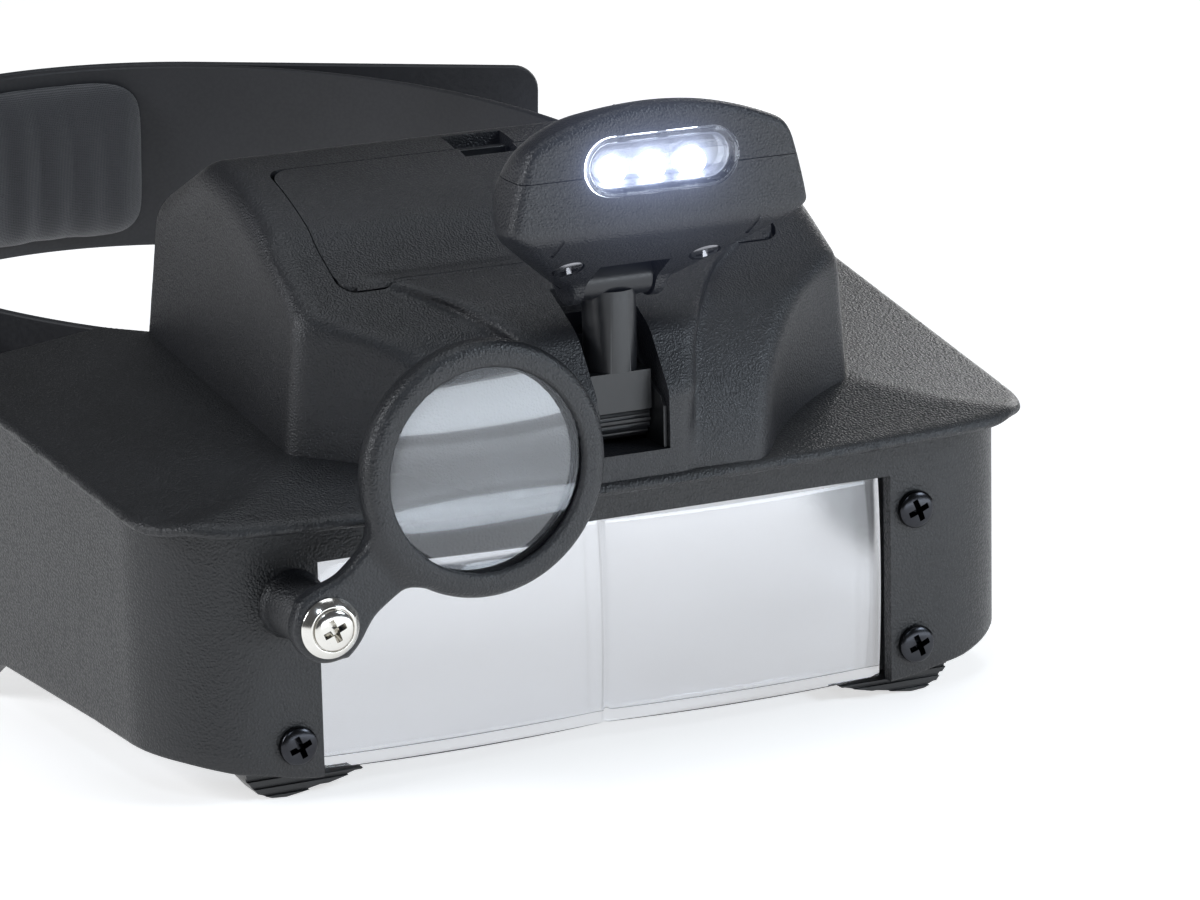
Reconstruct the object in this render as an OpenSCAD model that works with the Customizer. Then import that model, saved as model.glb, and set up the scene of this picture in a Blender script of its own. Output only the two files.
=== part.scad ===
// Lighted head visor magnifier: a visor with a two-eye lens, a flip-in lens, a swinging loupe,
// a tilting lamp and a head ring. Every piece is drawn in one working frame: X across the face,
// Y from front to back with the front wall's outer face at Y 0, and Z up from the table.

/* [Window and lenses] */
// Width of the window in the front wall
window_w = 104; // [98:1:106]
// Height of the window's top edge above the table
window_top = 39.4; // [37:0.2:41]
// Height of the front wall's lower edge above the table
wall_low = 3.3; // [2.5:0.1:4]
// Front radius of each half of the main lens
lens_radius = 180; // [165:5:260]
// Thickness of the main lens at its thickest place
lens_t = 3.8; // [3.6:0.1:4.2]
// Thickness of the flip-in lens
flip_lens_t = 2.2; // [1.9:0.1:2.4]

/* [Visor shell] */
// Half width of the straight part of the front wall
wall_flat = 61; // [60:0.5:63]
// Radius of the wall's front corners in plan
wall_corner = 18; // [15:0.5:19]
// Room from the head ring's inside to the outer faces of the side arms
arm_room = 6.4; // [6.2:0.1:7.4]
// Wall thickness of the shell
wall_t = 2.4; // [2:0.1:2.8]
// Thickness of the roof plate
roof_t = 2.2; // [1.8:0.1:2.6]
// How far the roof's front edge stands in front of the wall at the middle
brim_bow = 11; // [10:0.25:11.5]
// How far the roof's front edge stands in front of the wall near the corners
brim_end = 5; // [4:0.25:6]
// Height of the roof's front edge at the middle
brim_z = 48.2; // [47.6:0.1:48.8]

/* [Battery housing] */
// Radius that rounds the housing's edges
housing_edge = 4; // [3.5:0.1:4.4]
// Wall thickness of the housing
housing_t = 2.2; // [1.8:0.1:2.6]
// Half width of the battery cover
cover_half_w = 40; // [36:0.5:41]
// Front edge of the battery cover, measured along Y
cover_front = 15; // [14.5:0.25:16]
// Rear edge of the battery cover, measured along Y
cover_rear = 46; // [45.5:0.25:47]
// Thickness of the battery cover
cover_t = 2; // [1.6:0.1:2.4]
// Running gap round covers and other loose pieces
gap = 0.25; // [0.15:0.05:0.35]
// Diameter of one battery cell
cell_d = 10.4; // [10:0.1:10.5]
// Length of one battery cell
cell_l = 44.5; // [43.5:0.1:45]

/* [Lamp] */
// Width of the recess that the lamp's foot stands in
slot_w = 12.8; // [12.6:0.1:13.6]
// Diameter of the lamp's post
post_d = 8.8; // [8:0.1:9.4]
// Half width of the foot block
foot_half_w = 5.4; // [5:0.1:5.6]
// Half length of the lamp's clear window
lamp_win_half_l = 13.6; // [12.5:0.1:14.4]
// Half height of the lamp's clear window
lamp_win_half_h = 4.9; // [4.4:0.1:5.4]
// Diameter of one light-emitting diode
led_d = 5; // [4.6:0.1:5.4]
// Distance between neighbouring diodes
led_pitch = 7; // [6.6:0.1:7.4]

/* [Loupe] */
// Outside diameter of the loupe's ring
loupe_d = 42; // [40:0.5:44]
// Diameter of the loupe's clear opening
loupe_clear_d = 33.4; // [31:0.2:34]
// Distance from the pivot screw to the middle of the loupe
loupe_reach = 35.1; // [34:0.1:36.5]
// Angle of the loupe's arm above level
loupe_angle = 38.9; // [36:0.1:42]
// How far the loupe's arm stands off the wall
loupe_off = 11.8; // [11.6:0.1:12.5]
// Thickness of the loupe's arm
arm_t = 3.5; // [3:0.1:4]

/* [Head ring] */
// Half of the head ring's inside width
ring_half_w = 78; // [76:0.5:78.5]
// Half of the head ring's inside length
ring_half_l = 98; // [97:0.5:99]
// Thickness of the band and the straps
band_t = 1.8; // [1.6:0.1:2]
// Height of the band and the straps
band_h = 38; // [34:1:40]
// Distance of the side pivots behind the front wall
pivot_y = 128; // [127:0.5:130]
// Height of the side pivots above the table
pivot_z = 53; // [52:0.5:54]
// Diameter of the pivot bolts
pivot_bolt_d = 6; // [5:0.2:6.6]

/* [Hidden] */
$fn = 64;

// Small clearances
pin_fit = 0.05;
slack = 0.3;
over = 1;

// Visor: the wall's plan runs straight, round the corner and out along the sides to the arms
side_x = wall_flat + wall_corner;
arm_half_w = ring_half_w + arm_room;
arm_start = 95;
boss_r = 12;
arm_end = pivot_y + boss_r;
window_half = window_w / 2;
side_slope = (arm_half_w - side_x) / (arm_start - wall_corner);
// Height of the wall's lower edge at the front corners and along the sides
corner_low = 8.75;
low_start = 66;
foot_start = 84;
foot_end = 95;

// Roof: a curved front edge, round corners, side edges that climb to the rear, and a flat top
edge_r = roof_t / 2;
edge_side = 2;
tip_r = 15;
tip_x = wall_flat + 3;
tip_y = tip_r - brim_end + 0.3;
tip_turn = 6;
roof_rear = 82;
rise = 0.118;
plateau_rise = 0.115;
plateau_x = 51.1;
plateau_front = 12.2;
plateau_z = 54;
// Round cut that gives the head ring room behind the roof and the housing
head_r = 72;

function edge_y(x) = -brim_bow + (brim_bow - brim_end) * pow(x / 70, 2);
function edge_x(y) = side_x + edge_side + side_slope * (y - 10);
function roof_side_z(y) = brim_z + rise * (max(y, 4) - 4);
function plateau(y) = plateau_z + plateau_rise * (y - plateau_front);

// Housing: centres of the balls that round its edges, on the right side
side_base = plateau_x;
ridge_x = 48;
ridge = [[15.9, 79.5], [23.5, 84.9], [32.5, 89.1], [40, 91.6], [48, 93.8], [55, 94.8], [66.4, 88.7], [84, 80.2]];
housing_front = 8.2;
housing_front_z = 75.1;
// Lower front of the housing: the centre column's side view, from the seam up
cheek = [[-9.3, 47.6], [-9.3, 48.7], [-8.8, 52], [-7.5, 56], [-5.5, 60.5], [-2.5, 65], [0.5, 68.5], [4, 72],
         [8, 75.3], [15, 79.5]];
cheek_half = 45;
// Hollow flanks of the column: upright cylinders beside it
flank_r = 58;
flank_x = 72.5;
flank_y = -41.7;

// Tower that holds the lamp's foot: side view, and half widths at given heights
tower_side = [[-9.6, 47.6], [-9.6, 61.6], [-9.1, 62.8], [-3.8, 70.8], [-2.6, 71.9], [1.5, 74.2], [8, 77.2],
              [15, 79.6], [15, 60], [0, 47.6]];
tower_w = [[11.3, 47.6], [11, 53], [11, 62], [12.5, 67], [14, 69.25], [16, 71], [18, 73], [20, 74.75],
           [22, 76.5], [24, 77.5], [28, 78.5], [32, 79.2]];

// Lamp foot
slot_low = 52.6;
slot_rear = 8;
foot_y = -0.9;
foot_z = 56.8;
barrel_r = 3.6;
foot_block_low = 58.4;
foot_block_top = 65;
foot_front = 4;
base_pin_r = 1.2;
bracket_t = 0.65;

// Lamp head: its hinge, its faces and the outline of its front
head_y = -1.6;
head_z = 80.5;
tee_r = 3.5;
tee_half = 6;
ear_t = 2.2;
ear_x2 = tee_half + slack + ear_t;
head_face = -21.5;
parting = 101.5;
head_outline = [[-24.3, 93.1], [-12, 92.5], [12, 92.5], [24.3, 93.1], [26, 95], [24.8, 101.7], [22.7, 107.2],
                [18, 109.3], [10, 111.3], [0, 112.4], [-10, 111.3], [-18, 109.3], [-22.7, 107.2],
                [-24.8, 101.7], [-26, 95]];
lamp_z = 102.4;
lamp_win_t = 1.6;
reflector_d = 5;
board_t = 1.4;
screw_x = 12.1;
under_y = -12.5;
under_z = 85.4;
under_tilt = 36.6;
switch_travel = 4;
switch_half = 2.6;
switch_y = -9.5;

// Cell bay: a tilted box under the cover
bay_tilt = 25;
bay_y = (cover_front + cover_rear) / 2;
bay_z = 79;
cell_pitch = cell_d + 0.3;
nub_l = 1;
plate_t = 0.5;
spring_l = 5;
bay_half_x = (cell_l + nub_l + spring_l) / 2 + plate_t + 0.1;
bay_half_l = 1.5 * cell_pitch + 0.8;
tray_t = 1.2;
bay_low = -cell_d / 2 - tray_t - 0.1;

// Round lip that the cover swings on, and its latch
nose_r = 0.7;
pocket_corner = 3;
lid_corner = 4.6;
hinge_y = cover_front + gap + nose_r;
hinge_z = 79.2;
latch_top = 91.1;

// Screws under the housing, its latch and its leads
housing_screw_x = 36;
housing_screw_y = [26, 52];
housing_screw_l = 12;
screw_head_r = 2.8;
screw_head_t = 1.6;
latch_w = 9.4;
finger_rear = 52;
lead_x = 1.6;
lead_z = 70;
lead_r = 0.7;

// Window screws and the loupe's pivot
screw_col = 56.6;
screw_up = 33.2;
screw_dn = 9.55;
screw_r = 1.4;
pivot_r = 1.9;
loupe_x = -screw_col;
loupe_z = screw_up;
cup_t = 1.6;
cup_y = -loupe_off - arm_t;

// Lens frame behind the wall, and the hinge of the flip-in lens
lens_over = 1;
view_edge = 0.3;
lens_y = 1.2;
lens_back = lens_y + lens_t;
frame_back = lens_back + 1.5;
frame_half = 61;
frame_low = 7.2;
frame_top = window_top + 6.5;
flip_y = frame_back + 3.4;
flip_z = window_top + 4.8;
flip_pin_r = 1.1;
knuckle_r = 2.5;
flip_half = 47.4;
flip_radius = 480;
ear_half = 3;

// Flip-in lens frame: a bar on top, posts beside the window, and ridged grips below
plate_y1 = frame_back + 0.5;
plate_y2 = plate_y1 + 2.6;
post_in = window_half + 2.6;
post_out = window_half + 6;
bar_low = flip_z - 6.6;
bar_top = flip_z - knuckle_r - 0.4;
seat = 0.7;
flip_low = wall_low + 0.9;
flip_lens_half = post_in + seat - pin_fit;
grip_in = 44;
grip_out = 64.5;
grip_y1 = 3.2;
grip_top = wall_low - 0.4;
grip_low = [[grip_out, 5.4], [grip_out - 0.3, 3.4], [62.2, 1], [60, 0.2], [57.5, 0], [54, 0.5], [50, 1.2],
            [46.5, 2], [grip_in, 2.7]];

// Head ring
ring_y = 163;
ring_tilt = 3.5;
ring_top = 8.6;
ring_low = ring_top - band_h;
hook_t = 1;
tail_turn = 68;
tail_l = 70;
pad_t = 7;
rivet_r = 1.6;
rivet_turn = 4;
rivet_z = [-8, 2];
lap_start = -8;
lap_end = 12;
strap_tip = 140;
waist = 11;
band_boss_in = 70.7;
washer_t = 0.7;
shell_boss_in = arm_half_w - wall_t - 2.2;
band_boss_out = shell_boss_in - washer_t - 0.1;
bolt_head_t = 1.5;

// Lowest and highest places, used to set the origin under the middle of the part
knob_t = 7;
knob_gap = 0.4;
knob_x = arm_half_w + knob_t;
tail_end = ring_pt(tail_turn, 3 * band_t + hook_t) + ring_tan(tail_turn) * tail_l;
mid_x = (tail_end[0] - knob_x) / 2;
rear_y = pivot_y + (ring_y + ring_half_l + 3 * band_t + hook_t - pivot_y) * cos(ring_tilt)
  - (ring_top - band_h) * sin(ring_tilt);
mid_y = (head_face + rear_y) / 2;

// Point on the head ring at an angle, moved outwards square to it
function ring_nrm(a) = let (n = [cos(a) / ring_half_w, sin(a) / ring_half_l]) n / norm(n);
function ring_pt(a, off) = [ring_half_w * cos(a), ring_y + ring_half_l * sin(a)] + off * ring_nrm(a);
function ring_tan(a) = let (t = [ring_half_w * sin(a), -ring_half_l * cos(a)]) t / norm(t);

// Shared shapes
module rod_x(r, x1, x2, y, z) {
  translate([x1, y, z]) rotate([0, 90, 0]) cylinder(h = x2 - x1, r = r);
}
module rod_y(r, y1, y2, x, z) {
  translate([x, y1, z]) rotate([-90, 0, 0]) cylinder(h = y2 - y1, r = r);
}
// A (Y, Z) outline as a plate that runs along X
module side_plate(pts, x1, x2) {
  translate([x1, 0, 0]) rotate([90, 0, 90]) linear_extrude(x2 - x1) polygon(pts);
}
// An (X, Z) outline as a plate that runs along Y
module front_plate(pts, y1, y2) {
  translate([0, y2, 0]) rotate([90, 0, 0]) linear_extrude(y2 - y1) polygon(pts);
}
module block(x1, x2, y1, y2, z1, z2) {
  translate([x1, y1, z1]) cube([x2 - x1, y2 - y1, z2 - z1]);
}
module both() {
  children();
  mirror([1, 0, 0]) children();
}
module place() {
  translate([-mid_x, -mid_y, 0]) children();
}

// Outer form of the roof, with everything below it filled, moved down by drop
module roof_form(drop, depth) {
  front = [for (x = [-tip_x : tip_x / 8 : tip_x]) [x, edge_y(x) + edge_r, brim_z - edge_r]];
  tip = [for (a = [0 : tip_turn]) let (t = -90 + 85 * a / tip_turn)
    [tip_x + tip_r * cos(t) + 1, tip_y + tip_r * sin(t) + edge_r, brim_z - edge_r]];
  side = [for (y = [14, 40, roof_rear]) [edge_x(y) - edge_r, y, roof_side_z(y) - edge_r]];
  top = [for (y = [plateau_front, roof_rear]) [plateau_x, y, plateau(y) - edge_r]];
  translate([0, 0, -drop]) hull() {
    for (p = front) translate(p) sphere(r = edge_r, $fn = 16);
    for (p = concat(tip, side, top), m = [-1, 1]) translate([m * p[0], p[1], p[2]]) sphere(r = edge_r, $fn = 16);
    if (depth > 0) translate([0, 0, -depth]) {
      for (p = front) translate(p) sphere(r = edge_r, $fn = 8);
      for (p = concat(tip, side), m = [-1, 1]) translate([m * p[0], p[1], p[2]]) sphere(r = edge_r, $fn = 8);
    }
  }
}
// Plan of the wall's outer face, moved inwards by t
module wall_plan(t) {
  right = [for (a = [-90 : 6 : 0]) [wall_flat + (wall_corner - t) * cos(a), wall_corner + (wall_corner - t) * sin(a)]];
  rear = [[arm_half_w - t, arm_start], [arm_half_w - t, arm_end + (t > 0 ? over : 0)]];
  path = concat(right, rear);
  n = len(path) - 1;
  polygon(concat(path, [for (i = [n : -1 : 0]) [-path[i][0], path[i][1]]]));
}
module wall_strip() {
  difference() {
    linear_extrude(pivot_z + boss_r + 5) wall_plan(0);
    translate([0, 0, -over]) linear_extrude(pivot_z + boss_r + 10) wall_plan(wall_t);
  }
}
// Where the wall may be, seen from the side: front part, supports and arms
module wall_side() {
  rear_top = plateau(roof_rear) - 8;
  low = [for (i = [0 : 8]) let (u = i / 8) [low_start + (foot_start - low_start) * u,
    corner_low * (1 - u * u * (3 - 2 * u))]];
  boss = [for (a = [-60 : 15 : 110]) [pivot_y + boss_r * cos(a), pivot_z + boss_r * sin(a)]];
  side_plate(concat([[-over, 0], [-over, corner_low - 20], [20, corner_low - 20], [30, corner_low]], low,
    [[foot_end, 0]], boss, [[roof_rear - 4, rear_top], [roof_rear - 4, 80], [-over, 80]]), -100, 100);
}
module wall_low_front() {
  // Lower edge of the front wall: level under the window, then rising round the corners
  steps = [[window_half + 2, wall_low], [58, 4], [62, 5], [66, 5.5], [70, 6.5], [74, 7.5], [78, 8.25],
           [80, corner_low], [100, corner_low]];
  left = [for (i = [len(steps) - 1 : -1 : 0]) [-steps[i][0], steps[i][1]]];
  front_plate(concat([[-100, -20]], left, steps, [[100, -20]]), -over, 31);
}

module visor_shell() color("#26272b") place() difference() {
  union() {
    difference() {
      roof_form(0, 0);
      roof_form(roof_t, 0.5);
    }
    difference() {
      intersection() {
        wall_strip();
        wall_side();
      }
      wall_low_front();
      difference() {
        block(-100, 100, -30, roof_rear + 2, brim_z - 12, 100);
        roof_form(0.6, 20);
      }
    }
    // Bosses that carry the pivots of the head ring
    both() rod_x(boss_r - 2, shell_boss_in, arm_half_w - wall_t + 0.5, pivot_y, pivot_z);
  }
  // Window, open below
  block(-window_half, window_half, -over, wall_t + over, -over, window_top);
  // Screw holes beside the window
  for (x = [-screw_col, screw_col], z = [screw_dn, screw_up])
    rod_y(x < 0 && z == screw_up ? pivot_r + pin_fit : screw_r + pin_fit, -over, wall_t + over, x, z);
  // Pivot holes in the arms
  rod_x(pivot_bolt_d / 2 + pin_fit, -100, 100, pivot_y, pivot_z);
  // Room for the head ring behind the roof
  translate([0, pivot_y, pivot_z - 8]) cylinder(h = 60, r = head_r, $fn = 96);
  // Holes for the housing's screws
  for (x = [-housing_screw_x, housing_screw_x], y = housing_screw_y)
    translate([x, y, brim_z - 10]) cylinder(h = 30, r = 1.6);
}

// Convex form of the housing, with its edge balls shrunk by t
module housing_form(t) {
  r = housing_edge - t;
  e = housing_edge;
  tops = [for (i = [0 : len(ridge) - 1]) [ridge_x - e, ridge[i][0] + (i < 5 ? 1.8 : 0), ridge[i][1] - e]];
  hull() {
    for (p = tops, m = [-1, 1]) translate([m * p[0], p[1], p[2]]) sphere(r = r, $fn = 24);
    for (y = [plateau_front + 1.5, 84], m = [-1, 1]) translate([m * (side_base - e), y + e / 2, 45]) sphere(r = r, $fn = 24);
    for (m = [-1, 1]) translate([m * (cheek_half - e), housing_front + e / 2, housing_front_z - e]) sphere(r = r, $fn = 24);
    // The column's rounded front, from side to side
    for (p = cheek) translate([0, p[0] + r + t, p[1] - (p[1] > 70 ? r + t : 0)])
      rotate([0, 90, 0]) cylinder(r = r, h = 2 * (cheek_half - 6), center = true, $fn = 24);
  }
}
module flanks(t) {
  both() translate([flank_x, flank_y, 30]) cylinder(h = 80, r = flank_r + t, $fn = 180);
}
// The tower that the lamp stands in, shrunk by t
module tower(t) {
  w = [for (p = tower_w) [p[0] - t, p[1]]];
  n = len(w) - 1;
  intersection() {
    side_plate(tower_side, -40, 40);
    front_plate(concat(w, [for (i = [n : -1 : 0]) [-w[i][0], w[i][1]]]), -30, 30);
  }
}
module cover_area(in, r) {
  hw = cover_half_w - in;
  y1 = cover_front + in;
  y2 = cover_rear - in;
  translate([0, 0, 60]) linear_extrude(60) union() {
    translate([-hw + r, y1]) square([2 * (hw - r), y2 - y1]);
    translate([-hw, y1 + r]) square([2 * hw, y2 - y1 - 2 * r]);
    for (x = [-hw + r, hw - r], y = [y1 + r, y2 - r]) translate([x, y]) circle(r = r - 0.001 * in);
  }
}
module bay_frame() {
  translate([0, bay_y, bay_z]) rotate([bay_tilt, 0, 0]) children();
}
module bay(t) {
  bay_frame() block(-bay_half_x - t, bay_half_x + t, -bay_half_l - t, bay_half_l + t, bay_low - t, 20);
}

module battery_housing() color("#232428") place() difference() {
  union() {
    difference() {
      housing_form(0);
      flanks(0);
    }
    tower(0);
  }
  // Hollow inside, round the lamp's recess and the cell bay
  difference() {
    intersection() {
      housing_form(housing_t);
      block(-60, 60, -20, 120, 30, 120);
    }
    flanks(housing_t);
    block(-slot_w / 2 - housing_t, slot_w / 2 + housing_t, -30, slot_rear + housing_t, 30, 100);
    bay(housing_t);
    translate([0, pivot_y, 30]) cylinder(h = 90, r = head_r + housing_t, $fn = 96);
    for (x = [-housing_screw_x, housing_screw_x], y = housing_screw_y) translate([x, y, 30]) cylinder(h = 90, r = 3.6);
  }
  // Recess for the lamp's foot
  block(-slot_w / 2, slot_w / 2, -30, slot_rear, slot_low, 100);
  // Pocket for the cover, and the cell bay under it
  difference() {
    cover_area(0, pocket_corner);
    translate([0, 0, -cover_t - pin_fit]) housing_form(0);
  }
  intersection() {
    bay(0);
    block(-60, 60, cover_front + 0.4, cover_rear - 0.4, 40, 120);
  }
  // Finger recess behind the cover, and the latch's channel
  block(-latch_w / 2 - 0.8, latch_w / 2 + 0.8, cover_rear - 3, finger_rear, ridge[4][1] - 6, 120);
  // Screw holes from below
  for (x = [-housing_screw_x, housing_screw_x], y = housing_screw_y) translate([x, y, 30]) cylinder(h = 38, r = screw_r + pin_fit);
  // Hole for the leads
  for (x = [-lead_x, lead_x]) rod_y(lead_r + pin_fit, slot_rear - 1, cover_front + 6, x, lead_z);
  // The roof below
  roof_form(0, 30);
  // Room for the head ring
  translate([0, pivot_y, 30]) cylinder(h = 90, r = head_r, $fn = 96);
}

// Screw along Y, head to the front, with a cross recess
module pan_screw(head_r, head_t, shank_r, shank_l) {
  difference() {
    union() {
      rotate([90, 0, 0]) rotate_extrude() polygon([[0, 0], [head_r, 0], [head_r, head_t * 0.45],
        [head_r * 0.9, head_t * 0.8], [head_r * 0.7, head_t], [0, head_t]]);
      rod_y(shank_r, -0.01, shank_l, 0, 0);
    }
    for (a = [45, 135]) rotate([0, a, 0])
      block(-head_r * 0.55, head_r * 0.55, -head_t - over, -head_t * 0.45, -head_r * 0.13, head_r * 0.13);
  }
}

module battery_tray() color("#2c2d31") place() intersection() {
  bay_frame() difference() {
    union() {
      block(-bay_half_x + 0.05, bay_half_x - 0.05, -bay_half_l + 0.05, bay_half_l - 0.05, bay_low + 0.05,
        bay_low + tray_t);
      // Low ribs between the cells
      for (s = [-0.5, 0.5]) block(-bay_half_x + 2, bay_half_x - 2, s * cell_pitch - 0.6, s * cell_pitch + 0.6,
        bay_low + tray_t - 0.01, bay_low + tray_t + 2.4);
    }
    for (s = [-1 : 1]) rod_x(cell_d / 2 + 0.06, -60, 60, s * cell_pitch, 0);
  }
  block(-60, 60, cover_front + 0.45, cover_rear - 0.45, 40, 120);
}

// The cells lie side by side and point to alternate sides
module cell_place() {
  bay_frame() for (s = [-1 : 1]) translate([0, s * cell_pitch, 0])
    mirror([abs(s), 0, 0]) translate([(spring_l - nub_l) / 2, 0, 0]) children();
}
module battery_cells() color("#3c6fa8") place() cell_place() {
  rod_x(cell_d / 2, -cell_l / 2, cell_l / 2, 0, 0);
  rod_x(2.4, cell_l / 2 - 0.01, cell_l / 2 + nub_l, 0, 0);
}
module contact_springs() color("#c9c9cc") place() cell_place()
  translate([-cell_l / 2 - spring_l, 0, 0]) rotate([0, 90, 0]) rotate_extrude() polygon([[0.8, 0], [4, 0],
    [4, 0.8], [3.2, 1.2], [3.6, 1.8], [3.6, 2.4], [2.8, 2.8], [3.1, 3.4], [3.1, 4], [2.4, 4.4],
    [2.6, spring_l - 0.05], [0.8, spring_l - 0.05]]);
module contact_plates() color("#d8d8da") place() bay_frame() for (s = [-1 : 1], m = [-1, 1])
  translate([m * (bay_half_x - 0.05 - plate_t / 2), s * cell_pitch, 0])
    block(-plate_t / 2, plate_t / 2, -3.5, 3.5, bay_low + tray_t + 0.02, 3);
module battery_leads() color("#a03030") place() for (x = [-lead_x, lead_x])
  rod_y(lead_r, slot_rear + 0.1, cover_front + 2, x, lead_z);
module housing_screws() color("#1a1a1c") place() for (x = [-housing_screw_x, housing_screw_x], y = housing_screw_y)
  translate([x, y, plateau(y - screw_head_r) - roof_t - 0.1]) {
    translate([0, 0, -screw_head_t]) cylinder(h = screw_head_t, r = screw_head_r);
    translate([0, 0, -0.01]) cylinder(h = housing_screw_l, r = screw_r);
  }

// Half of a two-eye lens: a plate whose front is part of a large ball
module lens_half(half, y, t, z1, z2, r) {
  intersection() {
    block(0, half, y, y + t, z1, z2);
    translate([half / 2, y, (z1 + z2) / 2]) rotate([-90, 0, 0]) rotate_extrude($fn = 96)
      polygon(concat([for (i = [0 : 16]) let (x = i * half * 0.045) [x, r - sqrt(r * r - x * x)]],
        [[0, t + over]]));
  }
}
module main_lens() color("#dfe6ea", 0.5) place() difference() {
  both() lens_half(window_half + lens_over, lens_y, lens_t, wall_low, window_top + lens_over, lens_radius);
  // The parts of the rim behind the wall are cut back to its inner face
  for (m = [-1, 1]) block(m > 0 ? window_half - 0.1 : -window_half - 9, m > 0 ? window_half + 9 : -window_half + 0.1,
    -over, wall_t + 0.02, -over, window_top + 9);
  block(-80, 80, -over, wall_t + 0.02, window_top - 0.1, window_top + 9);
}
module lens_frame() color("#242529") place() difference() {
  union() {
    block(-frame_half, frame_half, wall_t, frame_back, frame_low, frame_top);
    // Lower ends that hold the lens at the foot of the window
    both() block(window_half + view_edge, window_half + 2.4, wall_t, frame_back, wall_low + 0.9, frame_low + over);
    // Ears for the flip-in lens
    both() hinge_ear(flip_half + 0.3, flip_half + 0.3 + ear_half * 2);
  }
  // Room for the main lens, and the clear view behind it
  block(-window_half - lens_over - pin_fit, window_half + lens_over + pin_fit, -over, lens_back + 0.02,
    -over, window_top + lens_over + pin_fit);
  block(-window_half - view_edge, window_half + view_edge, -over, frame_back + over, -over, window_top + view_edge);
  for (x = [-screw_col, screw_col], z = [screw_dn, screw_up])
    rod_y(x < 0 && z == screw_up ? pivot_r + pin_fit : screw_r + pin_fit, -over, frame_back + over, x, z);
  both() rod_x(flip_pin_r + pin_fit, 30, 70, flip_y, flip_z);
}
module hinge_ear(x1, x2) {
  rod_x(knuckle_r, x1, x2, flip_y, flip_z);
  block(x1, x2, frame_back - 0.01, flip_y, flip_z - knuckle_r, flip_z + knuckle_r);
}
module frame_screws() color("#101012") place() for (p = [[-screw_col, screw_dn], [screw_col, screw_dn],
  [screw_col, screw_up]]) translate([p[0], 0, p[1]]) pan_screw(3.25, 1.7, screw_r, frame_back - 0.3);
module flip_hinge_pins() color("#b9bcc0") place() both()
  rod_x(flip_pin_r, flip_half - ear_half * 2 + 0.3, flip_half + 0.3 + ear_half * 2, flip_y, flip_z);

module lamp_bracket() color("#2a2b2f") place() difference() {
  union() {
    both() side_plate([[-8.6, slot_low], [3, slot_low], [slot_rear - 0.05, slot_low + 0.7], [slot_rear - 0.05, 73], [3, 73],
      [1, 66], [-4, 62.5], [-7.6, 61], [-8.6, 59.5]], slot_w / 2 - 0.05 - bracket_t, slot_w / 2 - 0.05);
    block(-slot_w / 2 + 0.05, slot_w / 2 - 0.05, slot_rear - 1.4, slot_rear - 0.05, slot_low + 0.7, 73);
    // Small upright stop beside the post
    block(foot_half_w - 0.4, slot_w / 2 - 0.05, foot_front + 1, slot_rear - 0.5, 66.5, 73);
  }
  rod_x(base_pin_r + pin_fit, -60, 60, foot_y, foot_z);
  for (x = [-lead_x, lead_x]) rod_y(lead_r + 0.2, 0, slot_rear + over, x, lead_z);
}
module lamp_base_pin() color("#9a9da1") place()
  rod_x(base_pin_r, -slot_w / 2 + 0.1, slot_w / 2 - 0.1, foot_y, foot_z);

module loupe_place() {
  translate([loupe_x, 0, loupe_z]) children();
}
module loupe_post() color("#1f2023") place() loupe_place() difference() {
  union() {
    rod_y(5.2, -loupe_off, 0, 0, 0);
    rod_y(6.4, -2, 0, 0, 0);
  }
  rod_y(pivot_r + pin_fit, -30, 5, 0, 0);
}
module loupe_washer() color("#d9dadc") place() loupe_place() translate([0, cup_y, 0]) rotate([90, 0, 0])
  rotate_extrude() polygon([[pivot_r + pin_fit, 0], [5, 0], [5, 0.5], [3.9, cup_t], [3.4, cup_t],
    [3.1, cup_t - 0.5], [pivot_r + pin_fit, cup_t - 0.5]]);
module loupe_screw() color("#cfd1d4") place() loupe_place() translate([0, cup_y - cup_t + 0.5, 0])
  pan_screw(3, 1.5, pivot_r, loupe_off + arm_t + cup_t + frame_back - 0.8);

module battery_cover() color("#26272b") place() union() {
  cover_plate();
  rod_x(nose_r, -cover_half_w + 3, cover_half_w - 3, hinge_y, hinge_z);
}
module cover_plate() difference() {
  intersection() {
    cover_area(gap, lid_corner);
    housing_form(0);
  }
  translate([0, 0, -cover_t]) housing_form(0);
  // Round front lip that the cover swings on
  block(-60, 60, cover_front, hinge_y, 60, 120);
  block(-60, 60, cover_front, hinge_y + 2.2, 60, hinge_z - nose_r);
  // Notch for the latch
  block(-latch_w / 2 - 0.3, latch_w / 2 + 0.3, cover_rear - 3.2, cover_rear + over, 60, 120);
}
module cover_latch() color("#1d1e21") place() {
  block(-latch_w / 2, latch_w / 2, cover_rear - 1.6, finger_rear - 2.6, latch_top - 2.6, latch_top);
  block(-latch_w / 2, latch_w / 2, finger_rear - 4.2, finger_rear - 2.6, latch_top - 0.01, latch_top + 1.5);
}

module lamp_arm() color("#1b1c1f") place() difference() {
  union() {
    // Foot: two fluted rolls under a block
    rod_x(barrel_r, -foot_half_w, foot_half_w, foot_y, foot_z);
    block(-foot_half_w, foot_half_w, foot_y - 4, foot_front, foot_block_low, foot_block_top);
    block(-foot_half_w, foot_half_w, foot_y - 2.6, foot_y + 2.6, foot_z, foot_block_low + 0.01);
    translate([0, foot_y, foot_block_top - 0.01]) cylinder(h = head_z - foot_block_top - 2, r = post_d / 2);
    rod_x(tee_r, -tee_half, tee_half, head_y, head_z);
  }
  rod_x(base_pin_r + pin_fit, -60, 60, foot_y, foot_z);
  rod_x(base_pin_r + pin_fit, -60, 60, head_y, head_z);
  // Flutes across the barrel's front
  for (a = [150 : 22 : 216]) rod_x(0.5, -60, 60, foot_y + (barrel_r + 0.2) * cos(a), foot_z + (barrel_r + 0.2) * sin(a));
}

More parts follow.
